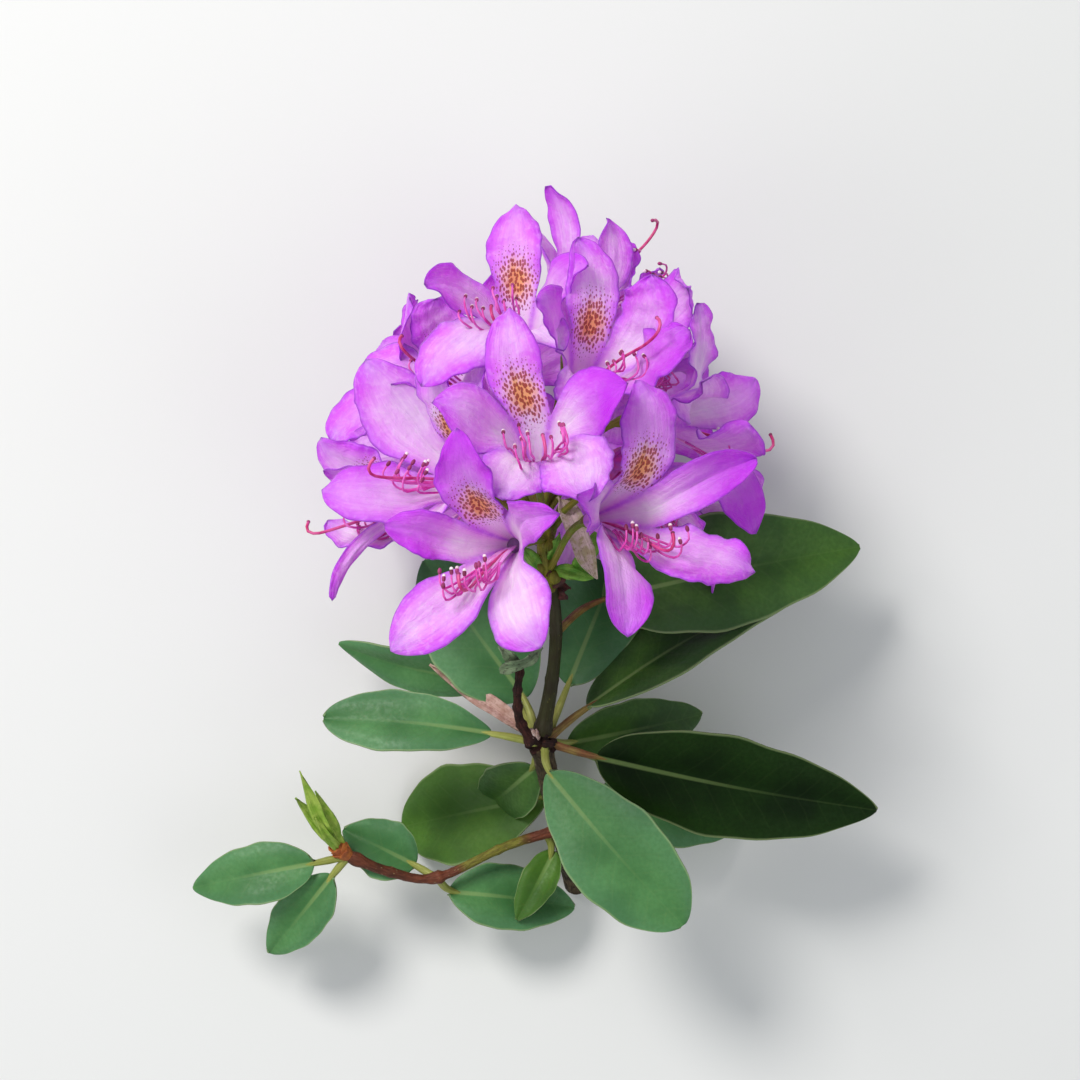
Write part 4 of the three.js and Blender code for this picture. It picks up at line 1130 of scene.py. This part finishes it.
def leafMaterial(name, side):
    look = {**leafLooks[name], **leafSides[side]}
    material, tree, shader = newMaterial(name + "_green" + side)
    u, v, _ = partsOf(uvMap(tree, "bladePlace"))
    sideways, along, _ = partsOf(uvMap(tree, "bladeSize"))
    edge = calc("ABSOLUTE", offMiddle(u, 2.0))
    aside = calc("ABSOLUTE", offMiddle(sideways, 1 / mapScale))
    cloud, grain = clouds(tree, 55.0, 0.35, 0.68), clouds(tree, 900.0, 0.3, 0.7)
    run = plus(minus(times(along, 1 / mapScale), times(aside, 0.8)), offMiddle(cloud["Height"], 5.0))
    comb = calc("ABSOLUTE", minus(calc("FRACT", times(run, 1 / leafShape["veinGap"])), 0.5))
    sideVein = times(span(comb, 0.0, 0.085, 1.0, 0.0), span(edge, 0.55, 0.95, 1.0, 0.0))
    rib = span(calc("DIVIDE", aside, span(v, 0.0, 1.0, 1.0, 0.28)), 0.35, 1.0, 1.0, 0.0)
    colour = blend(cloud["Mask"], look["base"], look["light"])
    # Bluish-grey toward the margins: painted sheen standing for a sky reflection.
    colour = blend(times(span(edge, 0.2, 1.0), 0.35), colour, look["sheen"])
    colour = blend(times(grain["Mask"], 0.3), colour, look["base"])
    if side == "_under":
        colour = blend(0.55, colour, leafShape["under"])
    colour = blend(times(sideVein, look["veins"]), colour, leafShape["rib"])
    colour = blend(times(rib, span(v, 0.05, 0.7, 0.55, 0.05)), colour, leafShape["rib"])
    colour = blend(times(span(edge, 0.94, 0.99), 0.5), colour, leafShape["rim"])
    feed(shader, {
        "Base Color": colour, "Roughness": span(grain["Height"], 0.3, 0.7, *look["rough"]),
        "Specular IOR Level": look["gloss"], "Subsurface Weight": 0.08, "Subsurface Scale": 0.001,
    })
    height = minus(times(grain["Height"], 0.5), times(sideVein, 0.1))
    if side == "_under":
        height = times(height, -1.0)
    addBump(shader, height, 0.3, 0.0005)
    return material


leafMaterials = {name: [leafMaterial(name, side) for side in leafSides] for name in leafLooks}


def bladeOutline(u, kind):
    c = np.clip(u, 0.001, 0.999)
    if kind == "ribbon":
        return np.maximum(0.06, smooth(c / 0.15) * np.clip((1 - c) / 0.3, 0, 1) ** 0.7)
    if kind == "lance":
        return np.maximum(0.06, np.sin(np.pi * c ** 0.75) ** 0.9)
    if kind == "round":
        return np.maximum(0.05, np.sin(np.pi * c ** 1.12) ** 0.52 * (1 + 0.12 * (c - 0.5)))
    return np.maximum(0.05, np.sin(np.pi * c ** 0.86) ** 0.62 * (1 - 0.18 * (c - 0.5)))


# Rows from the neck to the tip, columns across; also the distance across in millimetres
def bladeGrid(leaf, u, v, dice):
    neck, tip = leaf["neck"], leaf["tip"]
    length = np.linalg.norm(tip - neck)
    along = unit(tip - neck)
    flat = unit(np.cross([0, 0, 1], along))
    above = np.cross(along, flat)
    u, v = u[:, None], v[None, :]
    turn = np.radians(leaf["roll"] + leaf.get("twist", 0) * (u - 0.4))
    side = flat * np.cos(turn)[..., None] + above * np.sin(turn)[..., None]
    normal = np.cross(np.broadcast_to(along, side.shape), side)
    outline = bladeOutline(u, leaf.get("outline", "blade"))
    edge = 1 + 0.02 * np.sin(17 * u + dice.uniform(0, 6)) + 0.015 * np.sin(31 * u + np.where(v < 0, 2, 0))
    reach = v * leaf["half"] * outline * edge
    fold = math.radians(leaf["fold"])
    curl = math.radians(leaf.get("curl", 0))
    wave = leaf.get("wave", 1.0) * leafShape["wave"]
    rise = -leaf["sag"] * np.sin(np.pi * u) + np.abs(reach) * math.sin(fold)
    rise = rise - leafShape["rollEdge"] * leaf.get("rollEdge", 1.0) * smooth((np.abs(v) - 0.6) / 0.4) * outline
    rise = rise + wave * np.abs(v) ** 1.5 * np.sin(9 * u + np.where(v < 0, dice.uniform(0, 6), dice.uniform(0, 6)))
    across = reach * math.cos(fold)
    if curl:
        bend = np.abs(v) * abs(curl)
        rise = rise + np.sign(curl) * np.abs(reach) * (1 - np.cos(bend)) / np.maximum(bend, 1e-3)
        across = across * np.sin(np.maximum(bend, 1e-3)) / np.maximum(bend, 1e-3)
    grid = neck + along * (u * length)[..., None] + side * across[..., None] + normal * rise[..., None]
    return grid, reach, length


def bladeMesh(name, blades, materials, dice, thickness, rows, columns, rib=1.0):
    u = (1 - np.cos(np.pi * np.linspace(0, 1, rows))) / 2
    v = np.sin(np.pi / 2 * np.linspace(-1, 1, columns + 1))
    points, faces, slots, places, sizes = [], [], [], [], []
    total = 0
    for leaf in blades:
        grid, reach, length = bladeGrid(leaf, u, v, dice)
        normals = -gridNormals(grid)
        taper = (1 - 0.75 * u[:, None]) * rib
        top = grid + normals * (thickness / 2 - leafShape["groove"] * taper * bell(reach, 0.7))[..., None]
        under = grid - normals * (thickness / 2 + leafShape["ribHeight"] * taper * bell(reach, 0.9))[..., None]
        count = grid.shape[0] * grid.shape[1]
        index = np.arange(count).reshape(grid.shape[:2])
        place = np.stack(np.broadcast_arrays((v[None, :] + 1) / 2, u[:, None]), -1).reshape(-1, 2)
        size = np.stack(np.broadcast_arrays(0.5 + reach * mapScale, u[:, None] * length * mapScale), -1).reshape(-1, 2)
        loop, after = edgeOf(index)
        rim = np.stack([loop, after, after + count, loop + count], 1)
        topFaces, underFaces = quadsOf(index)[:, ::-1], quadsOf(index + count)
        whole = np.vstack([topFaces, underFaces, rim])
        points += [top.reshape(-1, 3), under.reshape(-1, 3)]
        faces.append(whole + total)
        places.append(place[whole % count])
        sizes.append(size[whole % count])
        slots += [np.zeros(len(topFaces)), np.ones(len(underFaces)), np.zeros(len(rim))]
        total += 2 * count
    maps = {"bladePlace": np.vstack(places), "bladeSize": np.vstack(sizes)}
    return makeMesh(name, np.vstack(points), np.vstack(faces), maps, materials, np.concatenate(slots))


def blade(neck, tip, half, roll, fold, sag, **own):
    ends = {"neck": np.array(neck, float), "tip": np.array(tip, float)}
    return {**ends, "half": half, "roll": roll, "fold": fold, "sag": sag, **own}


def lance(*values, **own):
    return blade(*values, outline="lance", **own)


# Neck, tip, half width, roll, fold and sag of each blade, and the root of its stalk
leaves = {
    "leaf_left": blade([-16, -41, -12], [-64, -37, -15], 9.5, 24, 12, -3, root=[-3, -44, -15], outline="round"),
    "leaf_front": blade([0, -52, -10], [38, -94.5, -4], 14.5, 6, 10, -4, root=[-1, -45, -15], outline="round"),
    "leaf_right": blade([14, -48, -14], [95, -64, -24], 15, 8, 12, -5, root=[0, -44, -16], look="leaf_painted_shade"),
    "leaf_right_upper": blade([11.5, -34, -22], [76, 0, -34], 14, -58, 10, -4, root=[0, -43, -17]),
    "leaf_right_top": blade([16, -3, -26], [91, 12, -32], 17, -8, 12, -6, root=[2, -12, -4]),
    "leaf_back_left": blade([-6.5, -31.5, -21], [-36, 8, -30], 15, 0, 8, -4, root=[-3, -43, -16]),
    "leaf_left_top": blade([-14, -27, -30], [-62, -17, -46], 8.5, -40, 12, -3, root=[-4, -42, -18]),
    "leaf_back": blade([6, -28, -30], [28, 26, -50], 13, 0, 10, -4, root=[0, -42, -18]),
    "leaf_dark_right": blade([6, -45, -28], [46, -38, -50], 9, 0, 12, -4, root=[0, -43.5, -18]),
    "leaf_dark_below": blade([-4, -52, -26], [-18, -66, -58], 9, 0, 12, -3, root=[-3, -45.5, -18]),
    "leaf_lime": blade([0, -62, -44], [-44, -73, -62.6], 15, 12, 10, -3, root=[1, -58, -28], outline="round"),
    "leaf_prop": blade([14, -61, -40], [60, -72, -62.9], 11, 0, 12, -3, root=[6, -60, -30]),
    "twig_leaf_1": blade([-39, -81.5, -38], [-60, -71, -37], 9, 10, 12, -2, root=[-33, -85, -36]),
    "twig_leaf_2": blade([-68, -80, -29], [-104, -88, -36], 9, 10, 12, -3, root=[-58, -78, -30]),
    "twig_leaf_3": blade([-63, -84, -31], [-82, -108, -42], 8, 0, 12, -3, root=[-58, -78, -30]),
    "twig_leaf_4": blade([-29, -90, -42], [8, -96, -52], 10, -20, 10, -3, root=[-32, -85.5, -37]),
    "twig_leaf_5": blade([2, -78, -43], [-9, -98, -40], 5.5, 0, 12, -2, root=[-1, -72, -40]),
}
leafSlots = {
    "leaf_right_upper": "leaf_dark", "leaf_right_top": "leaf_dark", "leaf_dark_right": "leaf_dark",
    "leaf_dark_below": "leaf_dark", "leaf_lime": "leaf_lime", "twig_leaf_5": "leaf_lime",
}
brownPetioles = ["leaf_right_top", "leaf_right_upper", "leaf_right"]
petiolePaths = {"petiole_skin": [], "petiole_brown": []}
for i, (name, leaf) in enumerate(leaves.items()):
    slot = leafSlots.get(name, "leaf")
    dice = np.random.default_rng(leafShape["seed"] * 100 + i)
    size = [leafShape[key] for key in ("thickness", "rows", "columns")]
    settle(bladeMesh("blade_" + name, [leaf], leafMaterials[leaf.get("look", slot)], dice, *size), slot, name)
    root, neck = np.array(leaf["root"], float), leaf["neck"]
    along = unit(leaf["tip"] - neck)
    reach = np.linalg.norm(neck - root)
    line = bezier([root, mix(root, neck, 0.4), neck - along * 0.3 * reach, neck + along * 6], 24)
    skin = "petiole_brown" if name in brownPetioles else "petiole_skin"
    petiolePaths[skin].append((line, girthOf([1.45, 1.15, 1.15, 0.9, 0.35], 24)))
for skin, paths in petiolePaths.items():
    limbPiece(skin.replace("_", "s_"), paths, skin, "leaf", sides=12, relief=0.12, seed=7.0)
print("leaves made")


# Small pieces: scales, dry leaves, buds and new shoots
def paperMaterial(name, base, other, speck, roughness=0.7, specks=0.5, size=420.0):
    material, tree, shader = newMaterial(name)
    cloud, dots = clouds(tree, size, 0.36, 0.64), clouds(tree, size * 3.5, 0.56, 0.66)
    fibre = fibres(uvMap(tree, "bladePlace"), (16.0, 1.6, 1.0), 0.5)
    colour = blend(cloud["Mask"], tint(*base), tint(*other))
    colour = blend(times(fibre["Mask"], 0.3), colour, tint(*speck))
    colour = blend(times(dots["Mask"], specks), colour, tint(*speck))
    feed(shader, {"Base Color": colour, "Roughness": roughness})
    addBump(shader, plus(fibre["Height"], cloud["Height"]), 0.7, 0.0006)
    return material


# Base, second colour and speck, then roughness, share of specks and size of the clouds
paperLooks = {
    "dry_tan": ((208, 176, 162), (180, 142, 126), (140, 96, 80)),
    "bract_tan": ((176, 164, 122), (212, 190, 180), (120, 96, 66), 0.6, 0.5),
    "bract_green": ((86, 152, 34), (126, 178, 56), (76, 100, 26), 0.5, 0.3),
    "grey_green": ((120, 142, 104), (88, 108, 76), (52, 52, 36), 0.7, 0.7, 300.0),
    "scale_red": ((92, 34, 26), (64, 30, 18), (36, 14, 10)),
    "bud_orange": ((190, 110, 42), (150, 74, 28), (96, 44, 20)),
    "shoot_lime": ((132, 172, 46), (168, 194, 78), (104, 132, 40), 0.5, 0.2),
    "bud_pale": ((204, 184, 178), (150, 116, 98), (70, 44, 32), 0.6, 0.5),
    "bud_magenta": ((196, 30, 140), (170, 44, 170), (130, 20, 100), 0.45, 0.2),
}
papers = {name: paperMaterial(name, *look) for name, look in paperLooks.items()}

# Name, slot, look and node of each piece, then its blades
smallBlades = [
    ("bract_ribbon", "dry_leaf", "bract_tan", ["bract"], [
        blade([2.6, 26, 8], [13.6, 3.2, 9], 3.5, -16, 6, -2.5, outline="ribbon", twist=50, curl=60),
    ]),
    ("dry_leaf_blade", "dry_leaf", "dry_tan", ["dry_leaf"], [
        lance([-5.5, -41.5, -18], [-34, -22, -25], 3.2, 15, 8, -2, twist=-30, curl=60, wave=1.2),
    ]),
    ("spent_leaf_blade", "grey_leaf", "grey_green", ["spent_leaf"], [
        lance([-13.6, -22.4, 2.2], [-1.4, -16.2, 2.4], 2.6, 34, 16, -1.4, twist=30, curl=50, wave=1.3),
        lance([-8.0, -21.0, 0.4], [-14.0, -15.6, 2.8], 2.2, -10, 14, -1, twist=40, curl=60, wave=1.2),
    ]),
    ("shoot_blades", "leaf_lime", "shoot_lime", ["twig_shoots"], [
        lance([-60.4, -76.2, -28.6], [-70.6, -51.8, -12], 2.5, -24, 28, -1.8, twist=20),
        lance([-60.0, -75.6, -28.8], [-66.6, -58, -18], 2.3, 24, 28, -1.2, twist=-20),
        lance([-61.2, -76.4, -28.2], [-72.4, -60, -19], 2.3, -12, 28, 1.6, twist=20),
        lance([-60.8, -76.0, -27.4], [-66.4, -66, -17.5], 1.8, 0, 30, -1),
        lance([-59.6, -75.4, -28.8], [-63.2, -67, -23], 1.6, 30, 30, -0.8),
    ]),
    ("bud_scale_blades", "scale", "scale_red", ["bud_scales"], [
        lance([0.2, 1.2, 1.0], [5.8, 4.4, 4.4], 1.7, 0, 14, -1.2),
        lance([1.0, -0.6, 0.4], [5.4, -2.6, 1.6], 1.6, 20, 14, 1.0),
        lance([-0.8, 0.0, 1.0], [-5.4, -0.6, 3.4], 1.6, -10, 14, -0.8),
        lance([0.0, 0.4, 1.8], [0.6, 5.6, 5.4], 1.5, 15, 20, 0.8),
        lance([1.4, 0.2, 0.0], [6.4, 0.4, -0.6], 1.6, 30, 14, 0.8),
        lance([-1.0, 0.8, 1.4], [-5.0, 4.2, 4.6], 1.4, -30, 14, -0.8),
    ]),
    ("axis_bracts", "green_stalk", "bract_green", [], [
        blade([7.0, 3.6, 3.6], [14.6, 17.4, 6.0], 3.0, 10, 16, -1.6, curl=30),
        lance([1.6, 6.0, 4.0], [12.6, 3.2, 6.0], 2.3, -12, 18, -1.2),
        lance([-1.4, 5.0, 4.0], [-7.4, 12.4, 6.6], 2.2, 10, 20, -1.2),
        lance([0.4, 8.0, 5.0], [3.2, 16.0, 9.0], 1.9, 20, 20, -1.0),
        lance([-1.0, 2.6, 3.0], [-5.8, 3.4, 5.8], 1.9, -10, 20, -1.0),
    ]),
]
smallShape = {"thickness": 0.35, "rows": 22, "columns": 10, "rib": 0.35}
smallSeed = 700
for i, (name, slot, look, nodes, blades) in enumerate(smallBlades):
    dice = np.random.default_rng(smallSeed + i)
    settle(bladeMesh(name, blades, [papers[look]] * 2, dice, **smallShape), slot, *nodes)

spiralTurn = 2.4  # radians from one scale or knot to the next


# A bud: a closed body under scales that overlap in a spiral
def budPiece(name, slot, look, foot, axis, length, radius, scales, flare, twist=0.0, ribs=0.0, nodes=()):
    foot, d = np.array(foot), unit(axis)
    x = unit(np.cross([0.3, 1, 0.2], d))
    y = np.cross(d, x)

    def around(a, r, h):
        return foot + x * (r * np.cos(a))[..., None] + y * (r * np.sin(a))[..., None] + d * np.asarray(h)[..., None]

    def profile(h):
        return radius * np.sqrt(np.maximum(1e-4, np.sin(np.pi * np.clip(0.1 + 0.9 * h, 0, 1) ** 1.1)))

    h = np.linspace(0, 1, 20)[:, None]
    a = np.linspace(0, 2 * np.pi, 28, endpoint=False)[None, :]
    ridged = 1 + ribs * np.cos(5 * a + twist * h)
    body = around(a + 0 * h, profile(h) * ridged, h * length + 0 * a)
    index = np.arange(body.shape[0] * body.shape[1]).reshape(body.shape[:2])
    index = np.hstack([index, index[:, :1]])
    points = [body.reshape(-1, 3), foot[None, :], (foot + d * length)[None, :]]
    total = index.size - body.shape[0]
    faces = [list(f[::-1]) for f in quadsOf(index)]
    faces += [[total, index[0, k], index[0, k + 1]] for k in range(a.shape[1])]
    faces += [[total + 1, index[-1, k + 1], index[-1, k]] for k in range(a.shape[1])]
    total += 2
    for k in range(scales):
        low = 0.5 * k / max(scales - 1, 1)
        hh = np.linspace(0, 1, 9)[:, None]
        ww = np.linspace(-1, 1, 7)[None, :]
        turn = spiralTurn * k + ww * 1.25 * np.sqrt(np.maximum(0, 1 - hh ** 2.4))
        at = np.clip(low + hh * 0.5, 0, 1)
        r = profile(at) + 0.12 + flare * hh ** 3 + 0.1 * (scales - k) / scales
        patch = around(turn, r + 0 * ww, at * length + 0 * ww)
        wall = 0.25 * gridNormals(patch)
        both = np.stack([patch + wall, patch - wall])
        count = patch.shape[0] * patch.shape[1]
        own = np.arange(count).reshape(patch.shape[:2])
        loop, after = edgeOf(own)
        points.append(both.reshape(-1, 3))
        faces += [list(f + total) for f in quadsOf(own)]
        faces += [list(f[::-1] + total + count) for f in quadsOf(own)]
        faces += [[total + p, total + p + count, total + q + count, total + q] for p, q in zip(loop, after)]
        total += 2 * count
    corners = sum(len(f) for f in faces)
    maps = {"bladePlace": np.full((corners, 2), 0.5)}
    piece = makeMesh(name, np.vstack(points), faces, maps, [papers[look]])
    fixNormals(piece)
    return settle(piece, slot, *nodes)


def fixNormals(piece):
    work = bmesh.new()
    work.from_mesh(piece.data)
    bmesh.ops.recalc_face_normals(work, faces=work.faces)
    work.to_mesh(piece.data)
    work.free()


buds = {
    "whorl_bud_body": {
        "slot": "pale_bud", "look": "bud_pale", "foot": [-3.6, -43.4, -14.0], "axis": [-0.25, 0.9, 0.75],
        "length": 4.6, "radius": 1.35, "scales": 5, "flare": 0.25, "nodes": ["whorl_bud"],
    },
    "shoot_bud": {
        "slot": "scale", "look": "bud_orange", "foot": [-57.4, -78.4, -30.2], "axis": [-0.75, 0.62, 0.35],
        "length": 7.6, "radius": 1.9, "scales": 9, "flare": 0.9,
    },
    "closed_flower_body": {
        "slot": "bud_petal", "look": "bud_magenta", "foot": [14.6, 30.6, 18.6], "axis": [0.5, 0.65, 0.6],
        "length": 13.0, "radius": 2.7, "scales": 3, "flare": 0.1, "twist": 2.2, "ribs": 0.07,
        "nodes": ["closed_flower"],
    },
}
for name, bud in buds.items():
    budPiece(name, **bud)
budStalk = throughPoints([trussTip * 0.7, [9, 26, 14], [15.2, 31.3, 19.2]], 24)
limbPiece("closed_flower_stalk", [(budStalk, girthOf([1.0, 0.9, 1.1], 24))], "pedicel_skin", "green_stalk", sides=10)

# Knots of old bud scales where the whorl of leaves starts
whorlShape = {
    "count": 11,
    "middle": [-1.6, -43.6, -15.6],
    "scatter": 0.8,
    "length": (3.0, 4.8),
    "girth": [1.3, 1.35, 1.3, 1.2, 1.15, 1.1, 0.7],
    "size": (0.75, 1.1),
    "seed": 77,
}


def knotPath(k, dice):
    shape = whorlShape
    turn = spiralTurn * k
    out = unit([math.cos(turn), 0.4 * math.sin(turn), 0.5 * math.sin(turn) + 0.5])
    foot = np.array(shape["middle"]) + dice.normal(0, shape["scatter"], 3)
    line = foot + out * np.linspace(0, dice.uniform(*shape["length"]), len(shape["girth"]))[:, None]
    return line, np.array(shape["girth"]) * dice.uniform(*shape["size"])


knotDice = np.random.default_rng(whorlShape["seed"])
knots = [knotPath(k, knotDice) for k in range(whorlShape["count"])]
limbPiece("whorl_knots", knots, "dead_bark", "bark", sides=10, relief=0.6, seed=9.0)
print("small pieces made")

# Scene: floor, light and camera
stageLook = {
    "cameraHeight": 760.0,  # above the foot of the truss
    "cameraPoint": [-2.24, 14.0],
    "frameWidth": 302.4,  # what the picture is wide there
    "floor": tint(224, 224, 222),
    "floorReach": 4.0,  # metres
    "skyColour": (0.9, 0.95, 1.0, 1),
    "skyPower": 0.46,
    "sensor": 36,
}
lights = {  # place, target, size, power and colour
    "key": ((-0.6, 0.74, 1.15), (0, 0, 0.06), 0.5, 16.5, (1.0, 0.98, 0.95)),
    "fill": ((0.8, -0.3, 1.0), (0, 0, 0.05), 0.9, 2.0, (0.93, 0.97, 1.0)),
    "back": ((-0.8, -0.45, 0.8), (0, 0, 0.05), 0.8, 2.4, (1, 1, 1)),
}


def addLight(name, place, target, size, power, colour):
    light = bpy.data.lights.new(name, "AREA")
    light.shape = "DISK"
    light.size = size
    light.energy = power
    light.color = colour
    lamp = newObject(name, light)
    lamp.location = place
    away = unit(np.array(place) - np.array(target))
    lamp.rotation_euler = (math.acos(away[2]), 0, math.atan2(away[0], -away[1]))
    lamp.visible_camera = False


def makeStage():
    look = stageLook
    floorMesh = bpy.data.meshes.new("floor")
    reach = look["floorReach"]
    corners = [(-reach, -reach, 0), (reach, -reach, 0), (reach, reach, 0), (-reach, reach, 0)]
    floorMesh.from_pydata(corners, [], [(0, 1, 2, 3)])
    material, _, shader = newMaterial("floor")
    feed(shader, {"Base Color": look["floor"], "Roughness": 0.8})
    floorMesh.materials.append(material)
    floor = newObject("floor", floorMesh)
    world = bpy.data.worlds.new("studio")
    world.use_nodes = True
    feed(world.node_tree.nodes["Background"], {0: look["skyColour"], 1: look["skyPower"]})
    bpy.context.scene.world = world
    for name, values in lights.items():
        addLight(name, *values)


def makeCamera():
    look = stageLook
    camera = bpy.data.cameras.new("camera")
    camera.sensor_width = look["sensor"]
    camera.lens = look["sensor"] * look["cameraHeight"] / look["frameWidth"]
    camera.clip_start = 0.01
    camera.clip_end = 20
    holder = newObject("camera", camera)
    holder.location = toFrame([*look["cameraPoint"], look["cameraHeight"]])
    bpy.context.scene.camera = holder


makeStage()
makeCamera()
bpy.context.scene.view_settings.view_transform = "Standard"
print("stage made")
